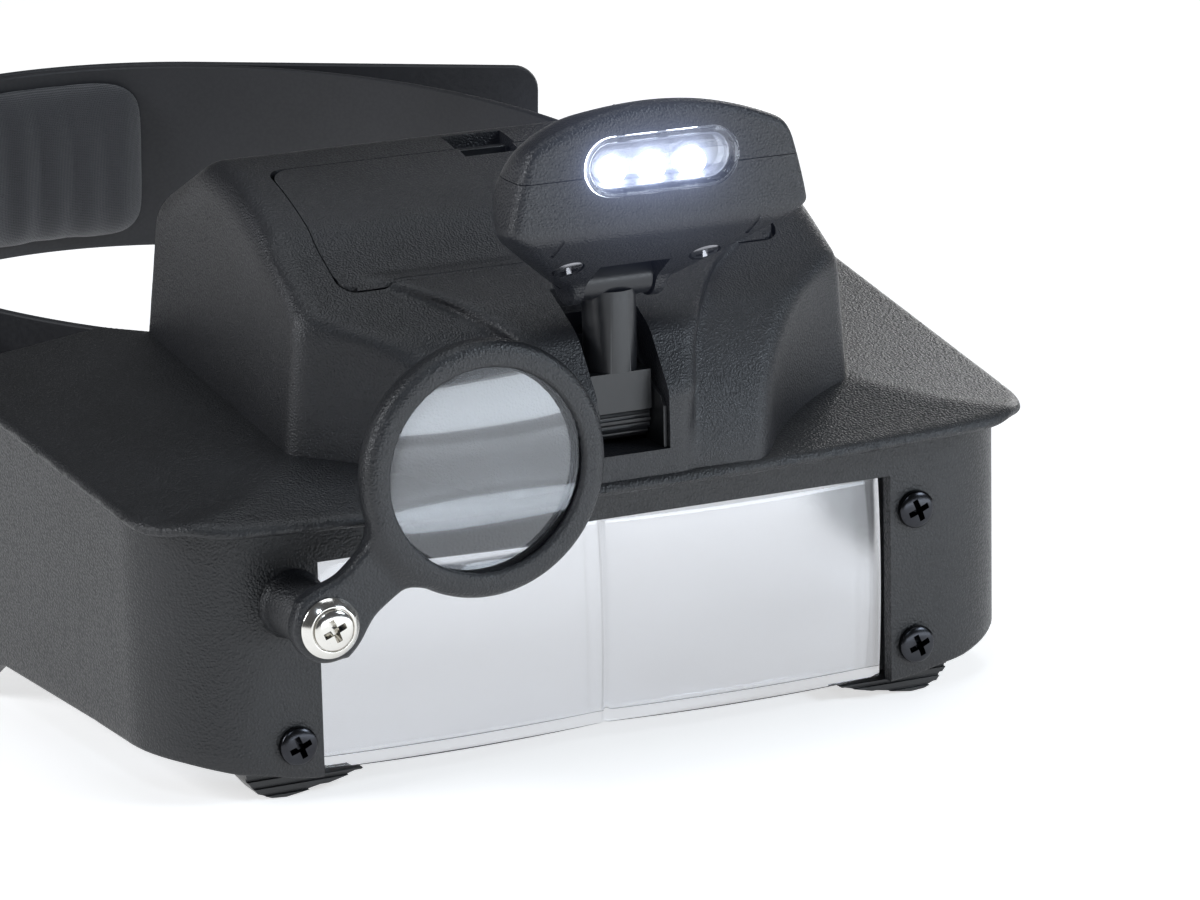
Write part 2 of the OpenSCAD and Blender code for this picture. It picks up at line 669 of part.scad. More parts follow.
module head_form(t) {
  hull() {
    front_plate([for (p = head_outline) [p[0] * (1 - t / 24), p[1] + (p[1] > parting ? -t : t)]],
      head_face + 1.2 + t, head_face + 6);
    front_plate([for (p = head_outline) [p[0] * (1 - (t + 1.2) / 24), (p[1] - parting) * 0.9 + parting
      + (p[1] > parting ? -t : t)]], head_face + t, head_face + 3);
    for (m = [-1, 1], p = [[23, -17.5, 106], [23.2, -11.4, 101.5], [23.2, -10, 96.8], [23.2, -13.5, 93]])
      translate([m * (p[0] - t), p[1] - t * 0.6, p[2]]) sphere(r = 1.4, $fn = 12);
    // Underside, narrowing to the hinge, and the rear
    for (m = [-1, 1], p = [[ear_x2 - 1.6, -5, 83.6], [ear_x2 - 1.6, 0.5, 82.6], [9, 0.5, 97], [12, -8, 107],
      [9, -4, 104.5]]) translate([m * (p[0] - t), p[1] - t, p[2] - (p[2] > 90 ? t : -t)]) sphere(r = 1.6, $fn = 12);
  }
}
module lamp_hollow() {
  // Room for the reflector, the board and the leads
  block(-lamp_win_half_l - 1, lamp_win_half_l + 1, head_face + lamp_win_t + 1.2, -8.5, lamp_z - 6.4, lamp_z + 5.6);
}
module capsule(l, h, y1, y2) {
  r = h;
  translate([0, 0, lamp_z]) {
    block(-l + r, l - r, y1, y2, -h, h);
    for (x = [-l + r, l - r]) rod_y(r, y1, y2, x, 0);
  }
}
module lamp_lower_shell() color("#1c1d20") place() difference() {
  union() {
    intersection() {
      head_form(0);
      block(-40, 40, -40, 20, 60, parting - 0.02);
    }
    both() rod_x(tee_r + 0.5, tee_half + 0.3, ear_x2, head_y, head_z);
  }
  lamp_hollow();
  capsule(lamp_win_half_l, lamp_win_half_h, head_face - over, head_face + 5);
  // Gap for the tee of the arm, and the pin's holes
  block(-tee_half - 0.3, tee_half + 0.3, -30, 20, 60, head_z + tee_r + 0.4);
  rod_x(base_pin_r + pin_fit, -60, 60, head_y, head_z);
  // Seats of the two screws under the head
  for (x = [-screw_x, screw_x]) translate([x, under_y, under_z]) rotate([-under_tilt, 0, 0]) {
    translate([0, 0, -9]) cylinder(h = 9.6, r = 2.5);
    cylinder(h = 11, r = 1.15);
  }
}
module lamp_upper_shell() color("#1c1d20") place() difference() {
  intersection() {
    head_form(0);
    block(-40, 40, -40, 20, parting + 0.02, 130);
  }
  lamp_hollow();
  capsule(lamp_win_half_l, lamp_win_half_h, head_face - over, head_face + 5);
  // Slot for the switch on top
  block(-switch_half - 0.2, switch_half + switch_travel + 0.2, switch_y - 2.2, switch_y + 2.2, 100, 130);
}
module lamp_window() color("#eef4ff", 0.6) place() capsule(lamp_win_half_l - 0.06, lamp_win_half_h - 0.06,
  head_face + 0.3, head_face + 0.3 + lamp_win_t);
module lamp_reflector() color("#e4e6ea") place() difference() {
  capsule(lamp_win_half_l - 0.06, lamp_win_half_h - 0.06, head_face + 0.32 + lamp_win_t, head_face + 7);
  capsule(lamp_win_half_l - 1.2, lamp_win_half_h - 1.2, head_face, head_face + 5);
  for (i = [-1 : 1]) rod_y(led_d / 2 + 0.05, -40, 0, i * led_pitch, lamp_z - 0.4);
}
module lamp_leds() color("#f4f8ff") place() for (i = [-1 : 1]) {
  rod_y(led_d / 2, head_face + 4.7, head_face + 7.9, i * led_pitch, lamp_z - 0.4);
  translate([i * led_pitch, head_face + 4.7, lamp_z - 0.4]) intersection() {
    sphere(r = led_d / 2 * 0.98, $fn = 40);
    block(-9, 9, -9, 0.01, -9, 9);
  }
}
module lamp_board() color("#2f6b46") place()
  block(-lamp_win_half_l, lamp_win_half_l, head_face + 7.95, head_face + 7.95 + board_t, lamp_z - 5.4, lamp_z + 4.6);
module lamp_head_pin() color("#9a9da1") place() rod_x(base_pin_r, -ear_x2 + 0.2, ear_x2 - 0.2, head_y, head_z);
module lamp_screws() color("#b6b9bd") place() for (x = [-screw_x, screw_x])
  translate([x, under_y, under_z]) rotate([-under_tilt, 0, 0]) difference() {
    union() {
      translate([0, 0, -0.8]) cylinder(h = 1.4, r = 2.25);
      cylinder(h = 9, r = 1.1);
    }
    for (a = [0, 90]) rotate([0, 0, a]) block(-1.4, 1.4, -0.3, 0.3, -2, -0.2);
  }
module lamp_switch() color("#303136") place() {
  block(-switch_half, switch_half, switch_y - 2, switch_y + 2, 105, 109.4);
  for (i = [-2 : 2]) block(i * 0.9 - 0.25, i * 0.9 + 0.25, switch_y - 1.6, switch_y + 1.6, 109.39, 109.8);
}

module loupe_arm() color("#1f2023") place() loupe_place() rotate([0, -loupe_angle, 0]) difference() {
  ro = loupe_d / 2;
  ri = loupe_clear_d / 2;
  union() {
    rod_y(6, cup_y, -loupe_off, 0, 0);
    front_plate([[-0.5, -5.98], [7, -4.6], [loupe_reach - ro + 3, -5.4], [loupe_reach - ro + 5, -8],
      [loupe_reach - ro + 5, 8], [loupe_reach - ro + 3, 5.4], [7, 4.6], [-0.5, 5.98]], cup_y, -loupe_off);
    translate([loupe_reach, 0, 0]) rotate([90, 0, 0]) rotate_extrude($fn = 96) polygon([[ri - 0.5, loupe_off],
      [ro - 0.8, loupe_off], [ro, loupe_off + 0.8], [ro, loupe_off + 4], [ro - 0.6, loupe_off + 4.8],
      [ro - 1.4, loupe_off + 5.2], [ri + 0.8, loupe_off + 5.2], [ri, loupe_off + 4.4], [ri - 0.5, loupe_off + 4.2]]);
  }
  rod_y(pivot_r + pin_fit, -40, 0, 0, 0);
  translate([loupe_reach, 0, 0]) {
    rod_y(ri, -40, 0, 0, 0);
    rod_y(ri + 1.1, -loupe_off - 4, 0, 0, 0);
  }
}
module loupe_lens() color("#e6edf0", 0.5) place() loupe_place() rotate([0, -loupe_angle, 0])
  translate([loupe_reach, -loupe_off - 2.6, 0]) intersection() {
    rod_y(loupe_clear_d / 2 + 1.05, -1.38, 1.38, 0, 0);
    translate([0, 60 - 2.7, 0]) sphere(r = 60, $fn = 300);
    translate([0, 2.7 - 60, 0]) sphere(r = 60, $fn = 300);
  }
module loupe_retainer() color("#1a1b1d") place() loupe_place() rotate([0, -loupe_angle, 0])
  translate([loupe_reach, 0, 0]) difference() {
    rod_y(loupe_clear_d / 2 + 1.05, -loupe_off - 1.2, -loupe_off - 0.05, 0, 0);
    rod_y(loupe_clear_d / 2, -loupe_off - 3, 0, 0, 0);
  }

module flip_frame() color("#202125") place() difference() {
  union() {
    // Bar on top and posts outside the view through the window
    front_plate([[-post_out, bar_low], [post_out, bar_low], [post_out, bar_top], [-post_out, bar_top]], plate_y1, plate_y2);
    both() {
      block(post_in, post_out, plate_y1, plate_y2, wall_low, bar_low + over);
      hinge_knuckle(flip_half - ear_half * 2, flip_half - 0.1);
      // Grip: it reaches forward below the wall and beside the lens frame
      difference() {
        front_plate(concat(grip_low, [[grip_in, grip_top], [post_in, grip_top], [post_in, frame_low - 0.7],
          [grip_out, frame_low - 0.7]]), grip_y1, plate_y2);
        block(0, window_half + lens_over + 1.9, 0, frame_back + slack, grip_top, 20);
        for (i = [0 : 3]) block(grip_in - over, grip_out + over, grip_y1 - over, grip_y1 + 0.6, 0.6 + i * 1.4, 1.2 + i * 1.4);
      }
      front_plate([[post_in, 3.4], [grip_out - 0.2, 4.5], [grip_out - 1, 12], [post_out - 1, 17], [post_in, 17]],
        plate_y1 + 0.1, plate_y2 - 0.1);
    }
  }
  // Seat for the lens at the back
  block(-post_in - seat, post_in + seat, plate_y1 + 0.3, plate_y2 + over, flip_low - pin_fit, bar_low + seat);
  both() rod_x(flip_pin_r + pin_fit, 30, 70, flip_y, flip_z);
}
module hinge_knuckle(x1, x2) {
  rod_x(knuckle_r, x1, x2, flip_y, flip_z);
  block(x1, x2, plate_y1, plate_y2, flip_z - 4.5, flip_z);
}
module flip_lens() color("#e0e8ec", 0.5) place() both()
  lens_half(flip_lens_half, plate_y1 + 0.32, flip_lens_t, flip_low, bar_low + seat - pin_fit, flip_radius);

// Head ring, drawn level and then tilted about its pivots
module ring_place() {
  translate([0, pivot_y, pivot_z]) rotate([ring_tilt, 0, 0]) translate([0, -pivot_y, 0]) children();
}
module ring_part(a1, a2, o1, o2, z1, z2) {
  n = max(2, round(abs(a2 - a1) / 4));
  a = [for (i = [0 : n]) a1 + (a2 - a1) * i / n];
  translate([0, 0, z1]) linear_extrude(z2 - z1) polygon(concat([for (t = a) ring_pt(t, o2)],
    [for (i = [n : -1 : 0]) ring_pt(a[i], o1)]));
}
// The band is narrower over the ears
module ears_cut() {
  low = ring_low - over;
  up = ring_low + waist;
  side_plate([[88, low], [94, low + 3], [100, up - 3], [108, up], [222, up], [230, up - 3], [236, low + 3],
    [242, low]], -120, 120);
}
module head_band() color("#23252c") place() ring_place() difference() {
  union() {
    ring_part(-180 - lap_end, lap_end, 0, band_t, ring_low, ring_top);
    both() rod_x(9, band_boss_in, band_boss_out, pivot_y, 0);
  }
  ears_cut();
  rod_x(pivot_bolt_d / 2 + pin_fit, -100, 100, pivot_y, 0);
  for (m = [-1, 1]) rivet_at(m) cylinder(h = 30, r = rivet_r + pin_fit, center = true);
}
// Stands on the band's outer face beside the right or left lap
module rivet_at(m) {
  for (z = rivet_z) {
    n = ring_nrm(rivet_turn);
    q = ring_pt(rivet_turn, band_t);
    translate([m * q[0], q[1], z]) rotate([0, 0, m > 0 ? atan(n[1] / n[0]) : 180 - atan(n[1] / n[0])])
      rotate([0, 90, 0]) children();
  }
}
// Offset of the outer strap's inner face along the ring
function over_off(a) = let (u = min(1, max(0, (166 - a) / 22))) band_t + u * u * (3 - 2 * u) * (band_t + hook_t);
module left_strap() color("#23252c") place() ring_place() difference() {
  n = 30;
  a = [for (i = [0 : n]) 180 - lap_start + (tail_turn - 180 + lap_start) * i / n];
  t = ring_tan(tail_turn) * tail_l;
  inner = [for (x = a) ring_pt(x, over_off(x))];
  outer = [for (i = [n : -1 : 0]) ring_pt(a[i], over_off(a[i]) + band_t)];
  translate([0, 0, ring_low]) linear_extrude(band_h) polygon(concat(inner, [inner[n] + t, outer[0] + t], outer));
  ears_cut();
  rivet_at(-1) cylinder(h = 30, r = rivet_r + pin_fit, center = true);
  tail_corners();
}
// Rounds the free end's corners
module tail_corners() {
  r = 5;
  e = tail_end - ring_tan(tail_turn) * r;
  ang = atan(ring_tan(tail_turn)[1] / ring_tan(tail_turn)[0]);
  for (s = [0, 1]) translate([e[0], e[1], s > 0 ? ring_top - r : ring_low + r]) rotate([0, 0, ang]) difference() {
    block(0, r + over, -5, 5, s > 0 ? 0 : -r - over, s > 0 ? r + over : 0);
    rod_y(r, -6, 6, 0, 0);
  }
}
module right_strap() color("#23252c") place() ring_place() difference() {
  ring_part(lap_start, strap_tip, band_t, 2 * band_t, ring_low, ring_top);
  ears_cut();
  rivet_at(1) cylinder(h = 30, r = rivet_r + pin_fit, center = true);
}
module strap_rivets() color("#3a3b40") place() ring_place() for (m = [-1, 1]) rivet_at(m) {
  translate([0, 0, band_t + 0.04]) cylinder(h = 1, r = 3);
  translate([0, 0, -band_t]) cylinder(h = 2 * band_t + 0.1, r = rivet_r);
  translate([0, 0, -band_t - 0.92]) cylinder(h = 0.8, r = 2.6);
}
module hook_patch() color("#17181a") place() ring_place()
  ring_part(tail_turn + 4, 124, 2 * band_t, 2 * band_t + hook_t, ring_low + 5, ring_top - 5);
module soft_pad(a1, a2, base) {
  steps = 3;
  for (i = [0 : steps - 1]) {
    k = i / steps;
    ring_part(a1 + 4 * i, a2 - 4 * i, base - pad_t * (i + 1) / steps, base - pad_t * k + (i > 0 ? 0.01 : 0),
      ring_low + 2 + 4.4 * k * k, ring_top - 2 - 4.4 * k * k);
  }
}
module brow_pad() color("#2c2e35") place() ring_place() soft_pad(-136, -44, 0);
module nape_pad() color("#2c2e35") place() ring_place() soft_pad(76, 104, band_t);

module pivot_bolts() color("#55575c") place() ring_place() both() {
  rod_x(pivot_bolt_d / 2, band_boss_in - 1, knob_x - 2.1, pivot_y, 0);
  rod_x(5.2, band_boss_in - bolt_head_t, band_boss_in - 0.02, pivot_y, 0);
}
module pivot_washers() color("#9a9da1") place() ring_place() both() difference() {
  rod_x(8, band_boss_out + 0.05, band_boss_out + 0.05 + washer_t, pivot_y, 0);
  rod_x(pivot_bolt_d / 2 + 0.02, 0, 200, pivot_y, 0);
}
module knob() {
  r = 10.5;
  top = knob_t - knob_gap;
  difference() {
    translate([arm_half_w + knob_gap, pivot_y, 0]) rotate([0, 90, 0]) rotate_extrude() polygon([[0, 0],
      [r - 1.2, 0], [r, 1.2], [r, top - 1.9], [r - 1.6, top - 0.4], [r - 3.4, top], [0, top]]);
    for (a = [0 : 30 : 330]) rod_x(1.5, 60, 120, pivot_y + (r + 0.6) * cos(a), (r + 0.6) * sin(a));
    rod_x(pivot_bolt_d / 2 + 0.03, 60, knob_x - 2, pivot_y, 0);
  }
}
module left_knob() color("#1b1c1f") place() ring_place() mirror([1, 0, 0]) knob();
module right_knob() color("#1b1c1f") place() ring_place() knob();

visor_shell();
battery_housing();
battery_tray();
battery_cells();
contact_springs();
contact_plates();
battery_leads();
housing_screws();
main_lens();
lens_frame();
frame_screws();
flip_hinge_pins();
lamp_bracket();
lamp_base_pin();
loupe_post();
loupe_washer();
loupe_screw();
battery_cover();
cover_latch();
lamp_arm();
lamp_lower_shell();
lamp_upper_shell();
lamp_window();
lamp_reflector();
lamp_leds();
lamp_board();
lamp_head_pin();
lamp_screws();
lamp_switch();
loupe_arm();
loupe_lens();
loupe_retainer();
flip_frame();
flip_lens();
head_band();
left_strap();
right_strap();
strap_rivets();
hook_patch();
brow_pad();
nape_pad();
pivot_bolts();
pivot_washers();
left_knob();
right_knob();
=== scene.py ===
"""Looks of the lighted head visor magnifier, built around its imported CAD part.

Shapes are worked out in millimetres in the part's working frame: X across the face, Y from front to back with the
front wall's outer face at Y 0, and Z up from the table. They move to the row frame, in metres, when a mesh is made."""
import math

import bmesh
import bpy
import numpy as np
from mathutils import Matrix, Vector


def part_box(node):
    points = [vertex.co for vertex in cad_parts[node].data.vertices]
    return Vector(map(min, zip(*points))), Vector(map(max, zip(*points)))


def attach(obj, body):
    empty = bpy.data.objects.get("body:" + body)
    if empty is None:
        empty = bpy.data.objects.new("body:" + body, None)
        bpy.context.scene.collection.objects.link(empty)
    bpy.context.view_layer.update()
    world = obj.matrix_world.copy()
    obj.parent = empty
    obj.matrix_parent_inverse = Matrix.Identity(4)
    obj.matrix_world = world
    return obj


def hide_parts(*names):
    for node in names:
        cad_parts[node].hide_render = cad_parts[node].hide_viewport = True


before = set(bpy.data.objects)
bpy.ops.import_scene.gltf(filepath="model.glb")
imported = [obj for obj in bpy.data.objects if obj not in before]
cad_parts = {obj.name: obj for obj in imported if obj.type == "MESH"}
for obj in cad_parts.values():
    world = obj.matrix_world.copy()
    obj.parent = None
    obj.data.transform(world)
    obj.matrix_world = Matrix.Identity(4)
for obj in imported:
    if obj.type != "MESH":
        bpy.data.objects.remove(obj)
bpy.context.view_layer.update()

MM = 0.001
MERGE_NEW = 0.002 * MM
MERGE_CAD = 0.003 * MM
VISOR_CELL, HOUSING_CELL, LAMP_CELL, LOUPE_CELL = 0.75, 0.6, 0.5, 0.42
BRIM_FRONT = -11.0
shell_low, shell_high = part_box("visor_shell")
MID = np.array([-(shell_low.x + shell_high.x) / 2 / MM, BRIM_FRONT - shell_low.y / MM, 0.0])

# Visor
WINDOW_HALF = 52.0
WINDOW_TOP = 39.4
WALL_LOW = 3.3
WALL_FLAT = 61.0
WALL_CORNER = 18.0
WALL_T = 2.4
ARM_HALF = 84.4
ARM_START = 95.0
SIDE_X = WALL_FLAT + WALL_CORNER
SIDE_SLOPE = (ARM_HALF - SIDE_X) / (ARM_START - WALL_CORNER)
PIVOT_Y = 128.0
PIVOT_Z = 53.0
BOSS_R = 12.0
BRIM_Z = 48.2
ROOF_T = 2.2
ROOF_REAR = 83.0
HEAD_R = 72.0
# Flat of the roof: half width, front edge and height. Front corner of the roof: centre of its arc, and its radius
PLATEAU = (51.1, 12.2, 54.0)
CORNER = (64.29, 11.02, 16.74)
SCREWS = ((-56.6, 9.55), (56.6, 9.55), (56.6, 33.2))
LOUPE_PIVOT = (-56.6, 33.2)
SCREW_BORE = 1.45
LOUPE_BORE = 1.95
PIVOT_BORE = 3.05

# Battery housing
SLOT_HALF = 6.4
SLOT_LOW = 52.6
SLOT_REAR = 8.0
# Cover: half width, front, rear and thickness. Its round front edge: place along Y, height and radius
COVER = (40.0, 15.0, 46.0, 2.0)
LIP = (15.95, 79.2, 0.7)
# Hollow of a flank: axis of an upright cylinder, and its radius
FLANK = (72.5, -41.7, 58.0)
SOFT_SIDE, SOFT_FLANK, SOFT_FRONT, SOFT_HEAD = 4.6, 2.6, 2.2, 1.5

# Head ring
RING_HALF_W = 78.0
RING_HALF_L = 98.0
RING_Y = 163.0
RING_TILT = 3.5
RING_TOP = 8.6
STRAP_TALL = 38.0
RING_LOW = RING_TOP - STRAP_TALL
BAND_T = 1.8
HOOK_T = 1.0
TAIL_TURN = 68.0
TAIL_L = 70.0
PAD_T = 7.0
PAD_SHRINK = 0.6
PAD_CAP = 1.0
KNOB_GAP = 0.4


# Meshes from whole arrays

# Faces of a box whose corners are counted along Z first, then Y, then X
BOX_FACES = np.array([[0, 1, 3, 2], [4, 6, 7, 5], [0, 4, 5, 1], [2, 3, 7, 6], [0, 2, 6, 4], [1, 5, 7, 3]])


def to_row(points):
    """Row-frame metres: the working-frame point less the part's middle, times a thousandth."""
    return (np.asarray(points, float) - MID) * MM


def linked(name, data):
    """New object round its data, in the scene."""
    obj = bpy.data.objects.new(name, data)
    bpy.context.scene.collection.objects.link(obj)
    return obj


def new_object(name, points, faces):
    """Mesh object from points in the working frame and rows of corner numbers; doubles are merged, faces turned out."""
    mesh = bpy.data.meshes.new(name)
    mesh.from_pydata(to_row(points).tolist(), [], [list(dict.fromkeys(f)) for f in np.asarray(faces).tolist()])
    work = bmesh.new()
    work.from_mesh(mesh)
    bmesh.ops.remove_doubles(work, verts=work.verts, dist=MERGE_NEW)
    bmesh.ops.recalc_face_normals(work, faces=work.faces)
    work.to_mesh(mesh)
    work.free()
    return linked(name, mesh)


def grid_quads(rows, cols, wrap_cols=False):
    """Corner numbers of the quads between neighbouring points of a grid, whose rows may be closed rings."""
    i = np.arange(rows - 1)[:, None]
    j = np.arange(cols if wrap_cols else cols - 1)[None, :]
    a, b = i * cols, (i + 1) * cols
    k = (j + 1) % cols
    return np.stack([a + j, a + k, b + k, b + j], -1).reshape(-1, 4)


def closed_sweep(points):
    """Closed surface over rings of points: quads between neighbouring rings, and a fan round each end's mean."""
    n, m = points.shape[:2]
    k = np.arange(m)
    fans = [np.stack([np.full(m, n * m + e), c + k, c + (k + 1) % m, np.full(m, n * m + e)], 1)
            for e, c in ((0, 0), (1, (n - 1) * m))]
    return (np.concatenate([points.reshape(-1, 3), [points[0].mean(0), points[-1].mean(0)]]),
            np.concatenate([grid_quads(n, m, wrap_cols=True), *fans]))


def turn_x(angle):
    """Matrix of a turn about X."""
    c, s = math.cos(angle), math.sin(angle)
    return np.array([[1, 0, 0], [0, c, -s], [0, s, c]])


def turned(profile, centre, axis, steps=64, ripple=None):
    """Surface of revolution: a (radius, height) profile goes round an axis through centre; both its ends lie on the
    axis. ripple(angle, height) may add to the radius."""
    profile = np.asarray(profile, float)
    axis = np.asarray(axis, float) / np.linalg.norm(axis)
    side = np.cross(axis, [0.0, 0.0, 1.0]) if abs(axis[2]) < 0.9 else np.array([1.0, 0.0, 0.0])
    side /= np.linalg.norm(side)
    other = np.cross(axis, side)
    angle = np.linspace(0, 2 * np.pi, steps, endpoint=False)
    r = np.broadcast_to(profile[:, 0, None], (len(profile), steps)).copy()
    if ripple is not None:
        r += ripple(angle[None, :], profile[:, 1, None]) * (r > 1e-6)
    ring = np.cos(angle)[:, None] * side + np.sin(angle)[:, None] * other
    points = np.asarray(centre, float) + r[..., None] * ring[None] + profile[:, 1, None, None] * axis
    return points.reshape(-1, 3), grid_quads(len(profile), steps, wrap_cols=True)


def rod(r, start, end, steps=48):
    """Cylinder between two points."""
    start, end = np.asarray(start, float), np.asarray(end, float)
    length = np.linalg.norm(end - start)
    return turned([(0, 0), (r, 0), (r, length), (0, length)], start, end - start, steps)


def pivot_rods(r, x1, x2, steps=48):
    """Two cylinders on the axis of the head ring's pivots, one on each side."""
    return [rod(r, (m * x1, PIVOT_Y, PIVOT_Z), (m * x2, PIVOT_Y, PIVOT_Z), steps) for m in (-1, 1)]


def block(x1, x2, y1, y2, z1, z2):
    """Box between its lowest and highest corners."""
    return np.array([[x, y, z] for x in (x1, x2) for y in (y1, y2) for z in (z1, z2)], float), BOX_FACES


def rounded_prism(x1, x2, y1, y2, z1, z2, r, steps=8):
    """Upright prism on a rectangle whose corners are arcs of radius r."""
    a = np.linspace(0, np.pi / 2, steps)
    arcs = [np.stack([cx + r * np.cos(a + t), cy + r * np.sin(a + t)], 1) for cx, cy, t in (
        (x2 - r, y2 - r, 0), (x1 + r, y2 - r, np.pi / 2), (x1 + r, y1 + r, np.pi), (x2 - r, y1 + r, 1.5 * np.pi))]
    plan = np.concatenate(arcs)
    middle = np.array([[(x1 + x2) / 2, (y1 + y2) / 2]])
    rows = [np.column_stack([np.repeat(p, len(plan) // len(p), 0), np.full(len(plan), z)])
            for p, z in ((middle, z1), (plan, z1), (plan, z2), (middle, z2))]
    return np.concatenate(rows), grid_quads(4, len(plan), wrap_cols=True)


def evaluated_mesh(obj):
    """New mesh with what the object's modifiers make of it."""
    return bpy.data.meshes.new_from_object(obj.evaluated_get(bpy.context.evaluated_depsgraph_get()))


def carved(obj, adds=(), cuts=(), keep=()):
    """The object with solids joined on, cut away, or kept only where they reach; each solid is points and faces."""
    for operation, solids in (("UNION", adds), ("INTERSECT", keep), ("DIFFERENCE", cuts)):
        for solid in solids:
            tool = solid if isinstance(solid, bpy.types.Object) else new_object("tool", *solid)
            modifier = obj.modifiers.new("carve", "BOOLEAN")
            modifier.operation, modifier.object, modifier.solver = operation, tool, "MANIFOLD"
            bpy.context.view_layer.update()
            mesh = evaluated_mesh(obj)
            obj.modifiers.clear()
            obj.data = mesh
            bpy.data.objects.remove(tool)
    return obj


def joined(objects):
    """The first object with the others joined on."""
    return carved(objects[0], adds=objects[1:])


def join_soft(a, b, r):
    """Smooth union of two fields: the smaller one, less a parabola where they differ by under r."""
    h = np.maximum(r - np.abs(a - b), 0) / r
    return np.minimum(a, b) - h * h * r / 4


def meet_soft(a, b, r):
    """Smooth intersection of two fields: the larger one, plus a parabola where they differ by under r."""
    return -join_soft(-a, -b, r)


def skin_of(field, low, high, step):
    """Closed surface where a field is nought. The box is cut into cells; each cell that the surface crosses gets a
    point at the mean of the crossings on its edges, the four cells round a crossed edge are joined by a quad, and
    every point then slides along the field's slope on to the surface."""
    low, high = np.asarray(low, float), np.asarray(high, float)
    n = np.ceil((high - low) / step).astype(int) + 1
    axes = [low[k] + step * np.arange(n[k]) for k in range(3)]
    lattice = np.stack(np.meshgrid(*axes, indexing="ij"), -1)
    value = field(lattice[..., 0], lattice[..., 1], lattice[..., 2])
    total = np.zeros(tuple(n - 1) + (3,))
    count = np.zeros(tuple(n - 1))
    crossed = []
    for k in range(3):
        u, v = [m for m in range(3) if m != k]
        a = np.moveaxis(value, (k, u, v), (0, 1, 2))
        p = np.moveaxis(lattice, (k, u, v), (0, 1, 2))
        start, end = a[:-1], a[1:]
        cross = (start < 0) != (end < 0)
        share = np.where(cross, start / np.where(cross, start - end, 1), 0)
        at = p[:-1] + (share * step)[..., None] * np.eye(3)[k]
        t = np.moveaxis(total, (k, u, v), (0, 1, 2))
        c = np.moveaxis(count, (k, u, v), (0, 1, 2))
        for i in (0, 1):
            for j in (0, 1):
                window = (slice(None), slice(i, i + n[u] - 1), slice(j, j + n[v] - 1))
                t += np.where(cross[window][..., None], at[window], 0)
                c += cross[window]
        crossed.append((k, u, v, cross, start < 0))
    number = np.full(tuple(n - 1), -1)
    used = count > 0
    number[used] = np.arange(used.sum())
    points = total[used] / count[used][:, None]
    quads = []
    for k, u, v, cross, inward in crossed:
        name = np.moveaxis(number, (k, u, v), (0, 1, 2))
        inner = cross[:, 1:-1, 1:-1]
        q = np.stack([name[:, :-1, :-1][inner], name[:, 1:, :-1][inner], name[:, 1:, 1:][inner],
                      name[:, :-1, 1:][inner]], 1)
        flip = inward[:, 1:-1, 1:-1][inner] == (k == 1)
        q[flip] = q[flip][:, ::-1]
        quads.append(q)
    small = step / 50
    for _ in range(3):
        f = field(*points.T)
        slope = np.stack([field(*(points + small * np.eye(3)[k]).T) - f for k in range(3)], 1) / small
        move = f[:, None] * slope / np.maximum((slope ** 2).sum(1), 0.2)[:, None]
        points = points - np.clip(move, -step / 2, step / 2)
    return points, np.concatenate(quads)


def finished(obj, body, material, node, angle=32, weighted=False):
    """Smooth faces with crisp edges above an angle, and what the piece is made of, rides on and stands for."""
    obj.data.materials.clear()
    obj.data.materials.append(material)
    obj.data.shade_smooth()
    obj.data.set_sharp_from_angle(angle=math.radians(angle))
    if weighted:
        obj.modifiers.new("even shading", "WEIGHTED_NORMAL").keep_sharp = True
    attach(obj, body)
    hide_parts(node)


def eased(node, body, material, width):
    """Copy of a CAD node with its triangles merged, its flat faces whole again and its edges eased by a bevel."""
    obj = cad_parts[node].copy()
    obj.data = obj.data.copy()
    obj.name = node + "_eased"
    obj.parent = None
    for key in list(obj.keys()):
        del obj[key]
    bpy.context.scene.collection.objects.link(obj)
    work = bmesh.new()
    work.from_mesh(obj.data)
    bmesh.ops.remove_doubles(work, verts=work.verts, dist=MERGE_CAD)
    bmesh.ops.dissolve_limit(work, angle_limit=math.radians(0.6), verts=work.verts, edges=work.edges)
    work.to_mesh(obj.data)
    work.free()
    bevel = obj.modifiers.new("eased edges", "BEVEL")
    bevel.width = width * MM
    bevel.segments = 2
    bevel.limit_method = "ANGLE"
    bevel.angle_limit = math.radians(40)
    bevel.harden_normals = True
    finished(obj, body, material, node, weighted=True)


# Materials

def new_group(name, inputs, outputs):
    """Empty shader node group with number inputs, each with its first value, and named outputs."""
    group = bpy.data.node_groups.new(name, "ShaderNodeTree")
    for label, value in inputs:
        group.interface.new_socket(label, in_out="INPUT", socket_type="NodeSocketFloat").default_value = value
    for label in outputs:
        group.interface.new_socket(label, in_out="OUTPUT", socket_type="NodeSocketFloat")
    return group, group.nodes.new("NodeGroupInput"), group.nodes.new("NodeGroupOutput")


def set_inputs(node, values):
    """The node with constant input values by socket name or number."""
    for key, value in values.items():
        node.inputs[key].default_value = value
    return node


def add_node(tree, kind, values=(), **settings):
    """Node of a kind with settings by name and input values by socket name or number."""
    node = tree.nodes.new(kind)
    for key, value in settings.items():
        setattr(node, key, value)
    return set_inputs(node, dict(values))


def feed(tree, *pairs):
    """Each pair's socket gets its number, or a link from its output."""
    for value, socket in pairs:
        if isinstance(value, (int, float)):
            socket.default_value = value
        else:
            tree.links.new(value, socket)


def math_node(tree, operation, a, b, clamp=False):
    """Math node whose two inputs are numbers or sockets."""
    n = add_node(tree, "ShaderNodeMath", operation=operation, use_clamp=clamp)
    feed(tree, (a, n.inputs[0]), (b, n.inputs[1]))
    return n.outputs[0]


def mix_shaders(tree, share, first, second):
    """Two shaders mixed by a share of the second, which is a number or a socket."""
    n = tree.nodes.new("ShaderNodeMixShader")
    feed(tree, (share, n.inputs[0]), (first.outputs[0], n.inputs[1]), (second.outputs[0], n.inputs[2]))
    return n


